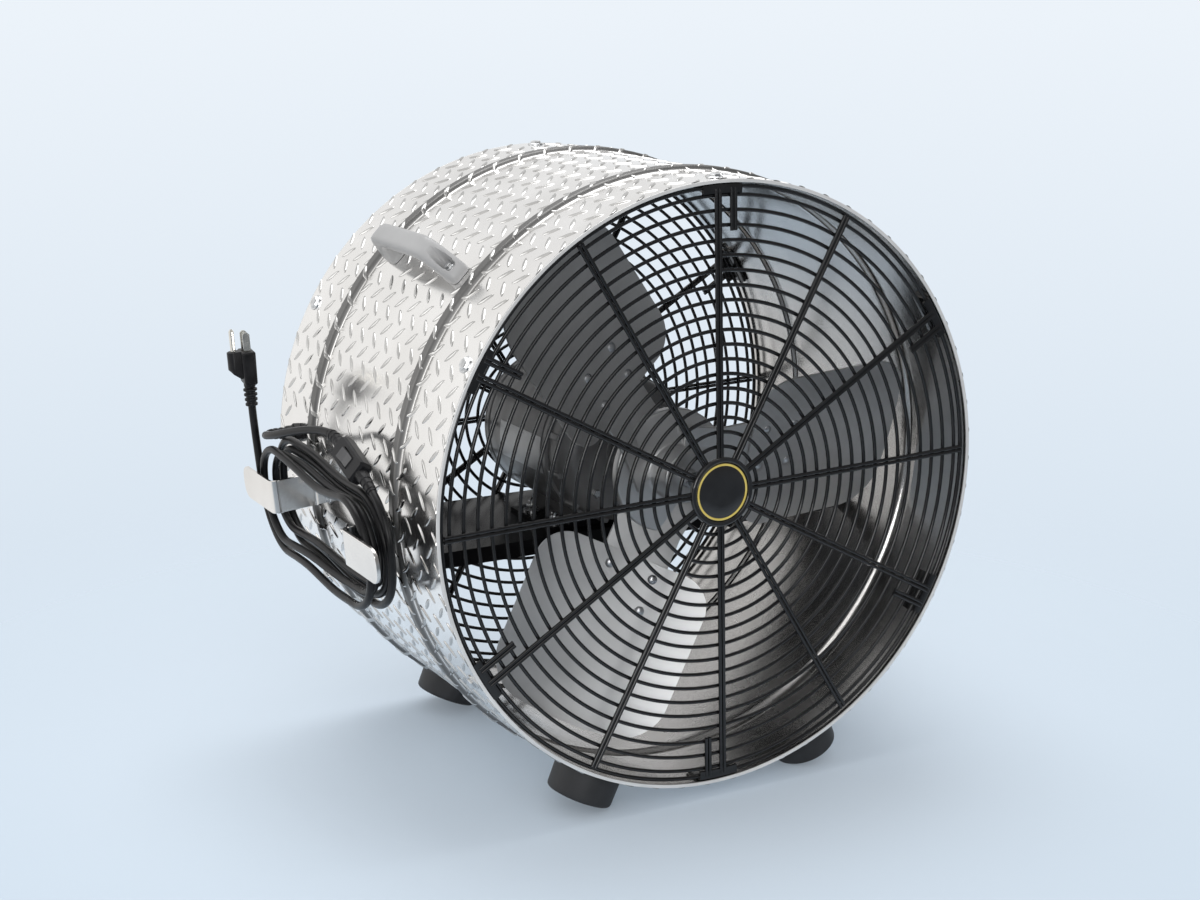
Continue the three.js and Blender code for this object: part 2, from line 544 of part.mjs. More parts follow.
// bracket frame: out from the axis, along the drum, up the side
const bracketOut = around(BRACKET_ANGLE), bracketUp = sideways(BRACKET_ANGLE);
const onBracket = (out, y, up) => bracketOut.clone().multiplyScalar(out)
  .addScaledVector(bracketUp, up).add(v3(0, y, 0));

// loops round both legs: spiral in on the inner layer, out again on the outer one.
// angle 0 is the rear end, 180 the front end, going over the top from rear to front
const loopBase = (a) => {
  const c = Math.cos(a), s = Math.sin(a), k = 2 / LOOP_SHAPE;
  return v2(LOOP_HALF_LENGTH * Math.sign(c) * Math.abs(c) ** k, LOOP_HALF_HEIGHT * Math.sign(s) * Math.abs(s) ** k);
};
const smooth = (x) => { const t = Math.min(1, Math.max(0, x)); return t * t * (3 - 2 * t); };
const baseRing = Array.from({ length: 361 }, (_, i) => loopBase((i * Math.PI) / 180));
const baseLengths = [0];
for (let i = 1; i <= 360; i++) baseLengths.push(baseLengths[i - 1] + baseRing[i].distanceTo(baseRing[i - 1]));
const ringPoint = (turn) => {
  const want = (turn - Math.floor(turn)) * baseLengths[360];
  let i = 1;
  while (i < 360 && baseLengths[i] < want) i++;
  const f = (want - baseLengths[i - 1]) / (baseLengths[i] - baseLengths[i - 1]);
  const p = baseRing[i - 1].clone().lerp(baseRing[i], f);
  const q = baseRing[(i + 4) % 360].clone().sub(baseRing[(i + 355) % 360]).normalize();
  return { p, n: v2(q.y, -q.x) };
};
function loopPoint(t) {               // t in turns, 0 to LOOP_TURNS
  const { p, n } = ringPoint(t + 0.5);
  const half = LOOP_TURNS / 2;
  const offset = LOOP_STEP * Math.abs(t - half);
  const climb = smooth((t - half + 0.25) / 0.5);
  const y = p.x + n.x * offset, up = p.y + n.y * offset;
  return onBracket(DRUM_R + LOOP_INNER + LOOP_LAYER * climb, DRUM_LENGTH / 2 + LOOP_SHIFT + y,
    up - LOOP_DROP + LOOP_TILT * y);
}
const switchDir = v3(0, -cos(SWITCH_SLOPE), -sin(SWITCH_SLOPE));
const switchMid = v3(...SWITCH_AT);
const reliefEnd = SWITCH_LENGTH / 2 + RELIEF_LENGTH + GAP;
const switchOut = switchMid.clone().addScaledVector(switchDir, reliefEnd);
const switchIn = switchMid.clone().addScaledVector(switchDir, -reliefEnd);
const loopStart = loopPoint(0);
const loopRun = loopPoint(0.02).sub(loopPoint(0)).normalize();
const entry = spline([
  switchOut, switchOut.clone().addScaledVector(switchDir, 2 * CORD_R),
  onBracket(DRUM_R + 29.5, loopStart.y - 3, 34), onBracket(DRUM_R + 27, loopStart.y - 9.5, 19),
  onBracket(DRUM_R + 20.5, loopStart.y - 7.5, 6),
  loopStart.clone().addScaledVector(loopRun, -9), loopStart,
]);
const entryShare = 0.06;
const wound = new Route((t) => (t < entryShare ? entry.getPoint(t / entryShare)
  : loopPoint(((t - entryShare) / (1 - entryShare)) * LOOP_TURNS)));
const woundSteps = Math.round(LOOP_TURNS * LOOP_STEPS) + 10;
add("cord_wound", tube(wound, woundSteps), "cord_black");

const glandDir = around(GLAND_ANGLE);
const glandEnd = glandDir.clone().multiplyScalar(DRUM_R + GLAND_HEIGHT + GAP).add(v3(0, GLAND_Y, 0));
// beside the drum, at a share of the way from gland to switch
const offDrum = (out, share, z) => v3(-DRUM_R - out, GLAND_Y + (switchIn.y - GLAND_Y) * share, z);
const lead = spline([
  glandEnd, glandEnd.clone().addScaledVector(glandDir, 2 * CORD_R),
  offDrum(32, 0.04, 19), offDrum(34, 0.15, 23), offDrum(32, 0.42, 34), offDrum(28, 0.73, 48),
  switchIn.clone().addScaledVector(switchDir, -2 * CORD_R - 6),
  switchIn.clone().addScaledVector(switchDir, -2 * CORD_R), switchIn,
]);
add("cord_lead", tube(lead, 16), "cord_black");

const woundEnd = loopPoint(LOOP_TURNS);
const woundOut = woundEnd.clone().sub(loopPoint(LOOP_TURNS - 0.005)).normalize();
const plugFoot = v3(...PLUG_AT);
const plugUp = v3(sin(PLUG_LEAN) * cos(PLUG_TURN), sin(PLUG_LEAN) * sin(PLUG_TURN), cos(PLUG_LEAN));
const tail = spline([
  woundEnd.clone().addScaledVector(woundOut, GAP),
  woundEnd.clone().addScaledVector(woundOut, GAP + 2 * CORD_R),
  v3(-DRUM_R - 31, plugFoot.y + 5, 16), plugFoot.clone().addScaledVector(plugUp, -2 * CORD_R - GAP),
  plugFoot.clone().addScaledVector(plugUp, -GAP),
]);
add("cord_tail", tube(tail, 10), "cord_black");

// gland: nut on the drum and a rounded cap
{
  const g = revolveY([[0, DRUM_R - 6], [GLAND_R, DRUM_R - 6], [GLAND_R, DRUM_R + GLAND_NUT],
    [GLAND_R - 2, DRUM_R + GLAND_NUT], [GLAND_R - 2.4, DRUM_R + GLAND_HEIGHT - 2],
    [CORD_R + 1.4, DRUM_R + GLAND_HEIGHT], [0, DRUM_R + GLAND_HEIGHT]], 6 * 2)
    .rotateX(Math.PI / 2).translate(0, GLAND_Y, 0);
  add("cord_gland", solid(atClock(g, GLAND_ANGLE)).subtract(outsideDrum), "plug_black");
}

// in-line switch: X across, Y along the cord, Z outwards
const switchFrame = (() => {
  const along = switchDir.clone();
  const out = v3(-1, 0, 0).applyAxisAngle(along, rad(-SWITCH_ROLL));
  return new THREE.Matrix4().makeBasis(new THREE.Vector3().crossVectors(along, out), along, out)
    .setPosition(switchMid);
})();
function roundBox(w, l, h, r) {
  const s = new THREE.Shape([v2(-w / 2 + r, -l / 2), v2(w / 2 - r, -l / 2), v2(w / 2, -l / 2 + r),
    v2(w / 2, l / 2 - r), v2(w / 2 - r, l / 2), v2(-w / 2 + r, l / 2), v2(-w / 2, l / 2 - r), v2(-w / 2, -l / 2 + r)]);
  return new THREE.ExtrudeGeometry(s, { depth: h - 2 * r, bevelThickness: r, bevelSize: r * 0.6,
    bevelOffset: -r * 0.6, bevelSegments: 1 }).translate(0, 0, -h / 2 + r);
}
{
  const face = SWITCH_THICK / 2;
  let body = solid(roundBox(SWITCH_WIDTH, SWITCH_LENGTH, SWITCH_THICK, SWITCH_ROUND));
  for (const end of [-1, 1]) {
    const relief = new THREE.CylinderGeometry(end > 0 ? CORD_R + 1.4 : RELIEF_R, end > 0 ? RELIEF_R : CORD_R + 1.4,
      RELIEF_LENGTH + 2, 12);
    if (end > 0) relief.rotateX(0);
    relief.translate(0, end * (SWITCH_LENGTH / 2 + RELIEF_LENGTH / 2 - 1), 0);
    body = body.add(solid(relief));
  }
  const room = 1;
  body = body.subtract(solid(boxAt(-ROCKER_WIDTH / 2 - room, ROCKER_WIDTH / 2 + room,
    -ROCKER_LENGTH / 2 - room, ROCKER_LENGTH / 2 + room, face - ROCKER_POCKET, face + 10)));
  add("switch_body", geometryOf(body).applyMatrix4(switchFrame), "plug_black");
  const half = ROCKER_LENGTH / 2;
  const profile = new THREE.Shape([v2(-half, -ROCKER_SINK), v2(half, -ROCKER_SINK), v2(half, ROCKER_RISE),
    v2(0, ROCKER_RISE / 2), v2(-half, ROCKER_RISE)]);
  const g = new THREE.ExtrudeGeometry(profile, { depth: ROCKER_WIDTH, bevelEnabled: false })
    .translate(0, 0, -ROCKER_WIDTH / 2)
    .applyMatrix4(new THREE.Matrix4().makeBasis(v3(0, 1, 0), v3(0, 0, 1), v3(1, 0, 0)))
    .rotateX(rad(-ROCKER_TILT)).translate(0, 0, face);
  add("switch_rocker", g.applyMatrix4(switchFrame), "grip");
}

// plug: ribbed strain relief, body with a half-round lobe, two blades and a round pin
{
  const place = (g) => g.rotateY(rad(PLUG_LEAN)).rotateZ(rad(PLUG_TURN)).translate(plugFoot.x, plugFoot.y, plugFoot.z);
  const bodyLow = PLUG_RELIEF_LENGTH, bodyTop = bodyLow + PLUG_HEIGHT;
  const ribs = [];
  for (let k = 0; k < 3; k++) {
    const z = 1 + k * 4.4;
    ribs.push([RELIEF_R + k * 0.3, z], [RELIEF_R + k * 0.3, z + 2.6], [RELIEF_R - 1.4, z + 3], [RELIEF_R - 1.4, z + 4]);
  }
  const relief = revolveY([[0, 0], [RELIEF_R - 1, 0], ...ribs, [RELIEF_R, bodyLow + 2], [0, bodyLow + 2]], 12)
    .rotateX(Math.PI / 2);
  const upright = (shape, low, high) => new THREE.ExtrudeGeometry(shape,
    { depth: high - low, bevelEnabled: false, curveSegments: 6 }).translate(0, 0, low);
  const w = PLUG_WIDTH / 2, t = PLUG_THICK / 2, c = 3;
  const block = new THREE.Shape([v2(-t, -w + c), v2(-t + c, -w), v2(t - c, -w), v2(t, -w + c),
    v2(t, w - c), v2(t - c, w), v2(-t + c, w), v2(-t, w - c)]);
  const lobe = new THREE.Shape();
  lobe.moveTo(0, -PLUG_LOBE_R).absarc(PLUG_LOBE_AT, 0, PLUG_LOBE_R, -Math.PI / 2, Math.PI / 2).lineTo(0, PLUG_LOBE_R);
  const lobeLow = bodyLow + 6, lobeEnd = PLUG_LOBE_AT + PLUG_LOBE_R + 1;
  const slope = slabY([v2(PLUG_THICK / 2, lobeLow - 1), v2(lobeEnd, lobeLow - 1),
    v2(lobeEnd, lobeLow + PLUG_LOBE_SLOPE)], -PLUG_WIDTH, PLUG_WIDTH * 2);
  const body = solid(upright(lobe, lobeLow, bodyTop)).subtract(solid(slope))
    .add(solid(upright(block, bodyLow, bodyTop))).add(solid(relief));
  add("plug_body", place(geometryOf(body)), "plug_black");
  const seat = bodyTop + GAP;
  for (const [k, y] of [[1, -PRONG_GAP / 2], [2, PRONG_GAP / 2]]) {
    const point = 2;
    const prong = new THREE.Shape([v2(-PRONG_WIDTH / 2, 0), v2(PRONG_WIDTH / 2, 0),
      v2(PRONG_WIDTH / 2, PRONG_LENGTH - point), v2(PRONG_WIDTH / 2 - point, PRONG_LENGTH),
      v2(-PRONG_WIDTH / 2 + point, PRONG_LENGTH), v2(-PRONG_WIDTH / 2, PRONG_LENGTH - point)]);
    const g = new THREE.ExtrudeGeometry(prong, { depth: PRONG_THICK, bevelEnabled: false })
      .rotateX(Math.PI / 2).translate(0, y + PRONG_THICK / 2, seat);
    add(`plug_blade_${k}`, place(g), "prong");
  }
  const pin = revolveY([[0, 0], [GROUND_PIN_R, 0], [GROUND_PIN_R, GROUND_PIN_LENGTH - 2],
    [GROUND_PIN_R - 1.4, GROUND_PIN_LENGTH], [0, GROUND_PIN_LENGTH]], 12)
    .rotateX(Math.PI / 2).translate(PLUG_LOBE_AT, 0, seat);
  add("plug_ground_pin", place(pin), "prong");
}

// ---- least gap of the wound cord to itself, on its points
{
  const steps = woundSteps * 4, length = wound.getLength(), apart = (4 * CORD_R * steps) / length;
  const points = wound.getSpacedPoints(steps);
  let least = Infinity;
  for (let i = 0; i <= steps; i++)
    for (let j = i + Math.ceil(apart) + 2; j <= steps; j++)
      least = Math.min(least, points[i].distanceTo(points[j]));
  console.log(`wound cord: ${length.toFixed(0)} mm, least gap to itself ${(least - 2 * CORD_R).toFixed(2)} mm,`
    + ` wanted ${CORD_GAP}`);
  console.log(`lead ${lead.getLength().toFixed(0)} mm, tail ${tail.getLength().toFixed(0)} mm`);
}

export default part;
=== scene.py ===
"""Drum fan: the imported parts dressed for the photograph's view.

Shapes are worked out in drum millimetres: x right, y back from the front rim, z up from the drum's
axis. place() turns them into metres in the frame. Clock angles are degrees from the top, seen from
the front."""
import json
import bpy
import numpy as np
from mathutils import Matrix, Vector


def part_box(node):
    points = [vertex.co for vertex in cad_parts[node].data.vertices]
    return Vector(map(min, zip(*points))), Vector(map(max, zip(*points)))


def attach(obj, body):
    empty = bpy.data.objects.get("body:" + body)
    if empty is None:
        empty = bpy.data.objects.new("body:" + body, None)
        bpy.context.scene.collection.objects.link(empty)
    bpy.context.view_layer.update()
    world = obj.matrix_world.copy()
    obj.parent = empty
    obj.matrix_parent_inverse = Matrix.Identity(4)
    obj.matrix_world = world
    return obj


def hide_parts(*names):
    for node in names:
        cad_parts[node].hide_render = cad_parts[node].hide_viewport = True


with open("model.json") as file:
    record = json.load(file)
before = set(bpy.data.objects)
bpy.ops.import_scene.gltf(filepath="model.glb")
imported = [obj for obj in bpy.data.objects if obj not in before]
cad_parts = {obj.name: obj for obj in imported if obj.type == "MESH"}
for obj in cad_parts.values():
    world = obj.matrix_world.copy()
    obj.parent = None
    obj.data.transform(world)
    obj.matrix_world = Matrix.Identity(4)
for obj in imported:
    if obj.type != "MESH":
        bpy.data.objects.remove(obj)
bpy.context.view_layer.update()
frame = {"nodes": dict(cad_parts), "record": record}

MM = 0.001

DRUM_R, DRUM_DEPTH, SHEET, CAD_BEAD = 270, 360, 3, 5
BEAD_YS = np.array([84.0, 276.0])
MIDDLE_Y = 180
GUARD_TURN = -1.5
TAB_CLOCKS, TAB_YS = np.arange(0, 360, 60) + GUARD_TURN, (15, 345)
FOOT_CLOCKS, FOOT_YS = {"left": 204, "right": 156}, {"front": 39, "rear": 321}
HANDLE_CLOCK, HANDLE_SCREW_REACH = 45.8, 65
BRACKET_CLOCK, BRACKET_SCREW_YS = -95.1, (130, 230)
GLAND_CLOCK, GLAND_Y = -86.0, 310

shell_low, shell_high = (np.array(p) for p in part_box("drum_shell"))
AXIS = np.array([(shell_low[0] + shell_high[0]) / 2, shell_low[1], shell_high[2] - (DRUM_R + CAD_BEAD) * MM])


def place(points):
    """Drum millimetres to metres in the frame."""
    return np.asarray(points, float) * MM + AXIS


# ======== camera
def set_camera():
    """The photograph's view: its direction, distance and lens were fitted to the rims and the
    guard's rings."""
    azimuth, elevation = np.radians(-28.837), np.radians(14.0758)
    level = np.cos(elevation)
    back = Vector((np.sin(azimuth) * level, -np.cos(azimuth) * level, np.sin(elevation)))
    right = Vector((np.cos(azimuth), np.sin(azimuth), 0))
    up = back.cross(right)
    data = bpy.data.cameras.new("photo_view")
    data.sensor_width, data.lens = 36, 60.44
    data.clip_start, data.clip_end = 0.05, 40
    camera = bpy.data.objects.new("photo_view", data)
    bpy.context.scene.collection.objects.link(camera)
    spot = place([-903.38, -1422.06, 459.04])
    rotation = Matrix((right, up, back)).transposed().to_4x4()
    camera.matrix_world = Matrix.Translation(Vector(spot)) @ rotation
    bpy.context.scene.camera = camera


set_camera()


# ======== materials
def shader_tree(name):
    """A new material with its Principled shader, as (material, nodes, link, shader)."""
    material = bpy.data.materials.new(name)
    material.use_nodes = True
    tree = material.node_tree
    return material, tree.nodes, tree.links.new, tree.nodes["Principled BSDF"]


def noise_at(nodes, link, scale, detail, roughness=0.5, stretch=(1, 1, 1)):
    """Noise on Object coordinates, stretched by a mapping."""
    mapping = nodes.new("ShaderNodeMapping")
    mapping.inputs["Scale"].default_value = stretch
    noise = nodes.new("ShaderNodeTexNoise")
    noise.inputs["Scale"].default_value = scale
    noise.inputs["Detail"].default_value = detail
    noise.inputs["Roughness"].default_value = roughness
    link(nodes.new("ShaderNodeTexCoord").outputs["Object"], mapping.inputs["Vector"])
    link(mapping.outputs["Vector"], noise.inputs["Vector"])
    return noise.outputs["Fac"]


def ramp(nodes, link, value, stops):
    """Colour ramp through (position, colour) stops."""
    node = nodes.new("ShaderNodeValToRGB")
    line = node.color_ramp
    while len(line.elements) < len(stops):
        line.elements.new(0.5)
    for element, (position, colour) in zip(line.elements, stops):
        element.position = position
        element.color = (*colour, 1)
    link(value, node.inputs["Fac"])
    return node.outputs["Color"]


def spread(nodes, link, value, low, high, start=0.3, end=0.7):
    """Value mapped from start..end onto low..high."""
    node = nodes.new("ShaderNodeMapRange")
    node.inputs["From Min"].default_value, node.inputs["From Max"].default_value = start, end
    node.inputs["To Min"].default_value, node.inputs["To Max"].default_value = low, high
    link(value, node.inputs["Value"])
    return node.outputs["Result"]


def worked_out(nodes, link, kind, operation, *inputs):
    """The outputs of a maths node whose inputs are numbers or other nodes' outputs, in order."""
    node = nodes.new(kind)
    node.operation = operation
    for socket, value in zip(node.inputs, inputs):
        if isinstance(value, bpy.types.NodeSocket):
            link(value, socket)
        else:
            socket.default_value = value
    return node.outputs


def bump(nodes, link, shader, height, depth, strength):
    """Bump of that depth in metres on the shader's normal."""
    node = nodes.new("ShaderNodeBump")
    node.inputs["Distance"].default_value = depth
    node.inputs["Strength"].default_value = strength
    link(height, node.inputs["Height"])
    link(node.outputs["Normal"], shader.inputs["Normal"])


BAND_BLUR = 0.26      # added to the roughness on the beads, where the bead mask attribute is 1


def finish_of(name, dark, light, rough, metal, patch, grain, depth, stretch=(1, 1, 1), coat=0.0,
              strength=0.4, specular=0.5, painted_bead_shade=None):
    """A worn plain finish: colour drifts between dark and light and roughness between its two
    values in patches, and a fine grain raises the surface. patch and grain are noise scales per
    metre. With a bead shade value, the colour falls to that share where the mesh's own bead mask
    attribute is 1, which is painted shade on the beads, and the surface is rougher there."""
    material, nodes, link, shader = shader_tree(name)
    patches = noise_at(nodes, link, patch, 4.0)
    fine = noise_at(nodes, link, grain, 2.0, 0.6, stretch)
    colour = ramp(nodes, link, patches, [(0.3, dark), (0.7, light)])
    gloss = spread(nodes, link, patches, *rough)
    # painted shade: the colour falls on the beads, where the bead mask is 1
    if painted_bead_shade is not None:
        mask = nodes.new("ShaderNodeAttribute")
        mask.attribute_name = "painted_bead_shade"
        share = spread(nodes, link, mask.outputs["Fac"], 1.0, painted_bead_shade, 0.0, 1.0)
        painted_shade_colour = nodes.new("ShaderNodeVectorMath")
        painted_shade_colour.operation = "SCALE"
        link(colour, painted_shade_colour.inputs[0])
        link(share, painted_shade_colour.inputs["Scale"])
        colour = painted_shade_colour.outputs["Vector"]
        gloss = worked_out(nodes, link, "ShaderNodeMath", "MULTIPLY_ADD", mask.outputs["Fac"], BAND_BLUR,
                           gloss)["Value"]
    link(colour, shader.inputs["Base Color"])
    link(gloss, shader.inputs["Roughness"])
    shader.inputs["Metallic"].default_value = metal
    shader.inputs["Coat Weight"].default_value = coat
    shader.inputs["Coat Roughness"].default_value = 0.08
    shader.inputs["Specular IOR Level"].default_value = specular
    bump(nodes, link, shader, fine, depth, strength)
    return material


# arguments: name, dark, light, roughness from and to, metal, patch, grain, depth of the grain in metres
# the beads get a fifth of this colour where the bead mask is 1: painted shade
treadplate = finish_of("bright_treadplate", (0.90, 0.888, 0.872), (0.99, 0.98, 0.968), (0.13, 0.22), 1.0,
                       14, 420, 4e-5, strength=0.3, painted_bead_shade=0.2)
# the lugs: the plate's own metal in a darker copy, painted shade that makes them read as dark strokes
lug_metal_painted_shade = finish_of("lug_painted_shade", (0.52, 0.515, 0.505), (0.68, 0.675, 0.665), (0.12, 0.20), 1.0,
                      14, 420, 2e-5, strength=0.3)
cut_edge = finish_of("cut_edge", (0.72, 0.72, 0.715), (0.84, 0.84, 0.835), (0.34, 0.48), 0.35,
                     30, 900, 2e-5, strength=0.3)
inner_sheet = finish_of("inner_sheet", (0.52, 0.51, 0.50), (0.74, 0.725, 0.71), (0.12, 0.30), 1.0,
                        9, 90, 2.5e-4)
guard_black = finish_of("guard_black", (0.004, 0.004, 0.0045), (0.009, 0.009, 0.010), (0.12, 0.20), 0.0,
                        60, 1200, 1e-5, coat=0.2)
channel_black = finish_of("channel_black", (0.004, 0.004, 0.0045), (0.010, 0.010, 0.011), (0.16, 0.24), 0.0,
                          40, 1500, 5e-6, specular=0.05)
blade_grey = finish_of("blade_grey", (0.50, 0.503, 0.506), (0.66, 0.663, 0.666), (0.30, 0.44), 0.85,
                       11, 260, 3e-5, stretch=(1, 6, 1))
motor_grey = finish_of("motor_grey", (0.115, 0.116, 0.119), (0.175, 0.176, 0.179), (0.30, 0.44), 0.2,
                       25, 500, 4e-5, coat=0.2)
bracket_bright = finish_of("bracket_bright", (0.78, 0.765, 0.745), (0.90, 0.885, 0.865), (0.08, 0.16), 1.0,
                           16, 600, 1.5e-5, stretch=(1, 0.1, 1))
steel = finish_of("ground_steel", (0.52, 0.53, 0.55), (0.66, 0.67, 0.69), (0.22, 0.34), 1.0, 40, 900, 1e-5)
zinc = finish_of("zinc_screw", (0.55, 0.56, 0.57), (0.78, 0.79, 0.80), (0.18, 0.32), 1.0, 180, 2500, 1e-5)
grip_grey = finish_of("grip_grey", (0.40, 0.40, 0.40), (0.48, 0.48, 0.48), (0.32, 0.46), 0.0, 22, 1400, 2e-5)
foot_rubber = finish_of("foot_rubber", (0.010, 0.010, 0.011), (0.024, 0.024, 0.026), (0.48, 0.66), 0.0,
                        35, 1500, 4e-5)
cord_black = finish_of("cord_jacket", (0.005, 0.005, 0.006), (0.012, 0.012, 0.013), (0.26, 0.40), 0.0,
                       45, 1600, 2e-5, specular=0.25)
plug_black = finish_of("plug_moulding", (0.007, 0.007, 0.008), (0.016, 0.016, 0.018), (0.30, 0.44), 0.0,
                       70, 2200, 2e-5, specular=0.22)
rocker_grey = finish_of("rocker_grey", (0.05, 0.05, 0.052), (0.08, 0.08, 0.083), (0.30, 0.42), 0.0,
                        90, 2600, 1.5e-5)
nickel = finish_of("nickel_prong", (0.74, 0.72, 0.67), (0.86, 0.84, 0.79), (0.14, 0.26), 1.0, 120, 2400, 1e-5)
badge_black = finish_of("badge_black", (0.006, 0.006, 0.007), (0.012, 0.012, 0.013), (0.10, 0.20), 0.0,
                        60, 1500, 1e-5, coat=0.6)
badge_gold = finish_of("badge_ring", (0.82, 0.62, 0.13), (0.92, 0.74, 0.22), (0.34, 0.44), 0.4,
                       90, 1800, 1e-5)
label_silver = finish_of("plate_silver", (0.42, 0.43, 0.44), (0.52, 0.53, 0.54), (0.34, 0.46), 0.6,
                         60, 1500, 1e-5)
FINISHES = {
    "treadplate": treadplate, "black_gloss": guard_black, "blade_metal": blade_grey, "shaft_steel": steel,
    "bracket_metal": bracket_bright, "motor_paint": motor_grey, "foot_rubber": foot_rubber,
    "grip_plastic": grip_grey, "rocker_plastic": rocker_grey, "prong_metal": nickel,
    "plug_plastic": plug_black, "cord_rubber": cord_black,
}


# ======== making surfaces
def grid_quads(rows, columns, wrap_rows=False, wrap_columns=False):
    """Quads of a rows x columns grid of points, joined end to end where wrapped."""
    i = np.arange(rows if wrap_rows else rows - 1)
    j = np.arange(columns if wrap_columns else columns - 1)
    i, j = (a.ravel() for a in np.meshgrid(i, j, indexing="ij"))
    i2, j2 = (i + 1) % rows, (j + 1) % columns
    return np.stack([i * columns + j, i * columns + j2, i2 * columns + j2, i2 * columns + j], 1)


def surface(name, points, faces, material, node_slot, body="base", replaced=(), sharp=35, second=None,
            second_faces=None):
    """A smooth mesh object from whole arrays of points and of faces, one array per face size,
    riding on a body. Edges that turn by more than sharp degrees stay sharp. second is another
    material, for the faces marked 1 in second_faces."""
    mesh = bpy.data.meshes.new(name)
    corners = np.concatenate([f.ravel() for f in faces]).astype(np.int32)
    sizes = np.concatenate([np.full(len(f), f.shape[1]) for f in faces])
    starts = np.concatenate([[0], np.cumsum(sizes)[:-1]]).astype(np.int32)
    points = np.ascontiguousarray(np.asarray(points, np.float32).reshape(-1, 3))
    mesh.vertices.add(len(points))
    mesh.vertices.foreach_set("co", points.ravel())
    mesh.loops.add(len(corners))
    mesh.loops.foreach_set("vertex_index", corners)
    mesh.polygons.add(len(starts))
    mesh.polygons.foreach_set("loop_start", starts)
    mesh.polygons.foreach_set("use_smooth", np.full(len(starts), True))
    if second is not None:
        mesh.polygons.foreach_set("material_index", np.asarray(second_faces, np.int32))
    mesh.update(calc_edges=True)
    mesh.validate()
    mesh.set_sharp_from_angle(angle=np.radians(sharp))
    mesh.materials.append(material)
    if second is not None:
        mesh.materials.append(second)
    piece = bpy.data.objects.new(name, mesh)
    bpy.context.scene.collection.objects.link(piece)
    if replaced:
        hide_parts(*replaced)
    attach(piece, body)
    return piece


def outward(points, *faces):
    """A closed body with its faces turned outwards, so that its signed volume is positive."""
    p = np.asarray(points, float).reshape(-1, 3)
    p0 = p - p.mean(0)
    volume = sum((p0[f[:, 0]] * np.cross(p0[f[:, k]], p0[f[:, k + 1]])).sum()
                 for f in faces for k in range(1, f.shape[1] - 1))
    return (p, *(f if volume > 0 else f[:, ::-1] for f in faces))


class Stack:
    """Collects closed bodies, in drum millimetres, that become one mesh in the frame."""

    def __init__(self):
        self.points, self.faces, self.count = [], [], 0

    def add(self, points, *faces):
        points, *faces = outward(points, *faces)
        self.points.append(points)
        self.faces += [f + self.count for f in faces]
        self.count += len(points)
        return self

    def make(self, name, material, node_slot, **more):
        by_size = [np.concatenate([f for f in self.faces if f.shape[1] == n])
                   for n in (3, 4) if any(f.shape[1] == n for f in self.faces)]
        return surface(name, place(np.concatenate(self.points)), by_size, material, node_slot, **more)


def single(solid, name, material, node_slot, **more):
    """One closed body, in drum millimetres, as a piece of its own."""
    return Stack().add(*solid).make(name, material, node_slot, **more)


def unit(v):
    v = np.asarray(v, float)
    return v / np.linalg.norm(v, axis=-1, keepdims=True)


def clock(angle):
    """Outward and sideways directions at a clock angle in degrees, seen from the front."""
    a = np.radians(angle)
    zero = np.zeros_like(a)
    return (np.stack([np.sin(a), zero, np.cos(a)], -1), np.stack([np.cos(a), zero, -np.sin(a)], -1))


def around(count):
    """Angles at even steps round a full turn."""
    return 2 * np.pi * np.arange(count) / count


def eased(t):
    """The cubic 3t^2 - 2t^3, level at both ends."""
    return t * t * (3 - 2 * t)


def corner_cut(edge, radius):
    """How far a round corner of that radius cuts in, at each distance from the edge."""
    return np.where(edge < radius, radius - np.sqrt(np.maximum(radius ** 2 - (radius - edge) ** 2, 0)), 0)


def fan_from(middle, loop):
    """Triangles between a middle point's number and a loop of point numbers."""
    return np.stack([np.full(len(loop), middle), loop, np.roll(loop, -1)], 1)


def tube_faces(rows, columns):
    """Faces of a closed tube: a grid wrapped along its columns, with its first and last rows
    closed from two middle points numbered after the grid."""
    j = np.arange(columns)
    return (grid_quads(rows, columns, wrap_columns=True)[:, ::-1], fan_from(rows * columns, j),
            fan_from(rows * columns + 1, (rows - 1) * columns + j)[:, ::-1])


def lathe_faces(segments, rows):
    """Faces of a body turned from a profile of that many rows, closed at both ends from two points
    on its axis numbered after the grid."""
    low = np.arange(segments) * rows
    return (grid_quads(segments, rows, wrap_rows=True), fan_from(segments * rows, low),
            fan_from(segments * rows + 1, low + rows - 1)[:, ::-1])


def rounded(profile, radius, steps=4, closed=False):
    """The same outline with each corner replaced by a short arc, as a quadratic blend between
    points a radius before and after the corner. radius is one value or one per point."""
    p = np.asarray(profile, float)
    radius = np.broadcast_to(radius, len(p))
    before, after = np.roll(p, 1, 0), np.roll(p, -1, 0)
    out = []
    for k in range(len(p)):
        if radius[k] <= 0 or (not closed and k in (0, len(p) - 1)):
            out.append(p[k][None])
            continue
        a = p[k] + unit(before[k] - p[k]) * min(radius[k], np.linalg.norm(before[k] - p[k]) * 0.49)
        b = p[k] + unit(after[k] - p[k]) * min(radius[k], np.linalg.norm(after[k] - p[k]) * 0.49)
        t = np.linspace(0, 1, steps + 1)[:, None]
        out.append((1 - t) ** 2 * a + 2 * t * (1 - t) * p[k] + t ** 2 * b)
    return np.concatenate(out)


def turned_solid(profile, segments, axes, origin=(0, 0, 0)):
    """A closed body from a profile of (radius, height) whose ends lie on its axis. Height runs
    along the third of the axes. Returns points and faces."""
    profile, axes = np.asarray(profile, float), np.asarray(axes, float)
    a = around(segments)[:, None, None]
    r, h = profile[1:-1].T
    ring = (np.cos(a) * axes[0] + np.sin(a) * axes[1]) * r[None, :, None]
    body = ring + h[None, :, None] * axes[2]
    ends = profile[[0, -1], 1][:, None] * axes[2]
    points = np.concatenate([body.reshape(-1, 3), ends]) + np.asarray(origin, float)
    return (points, *lathe_faces(segments, len(r)))


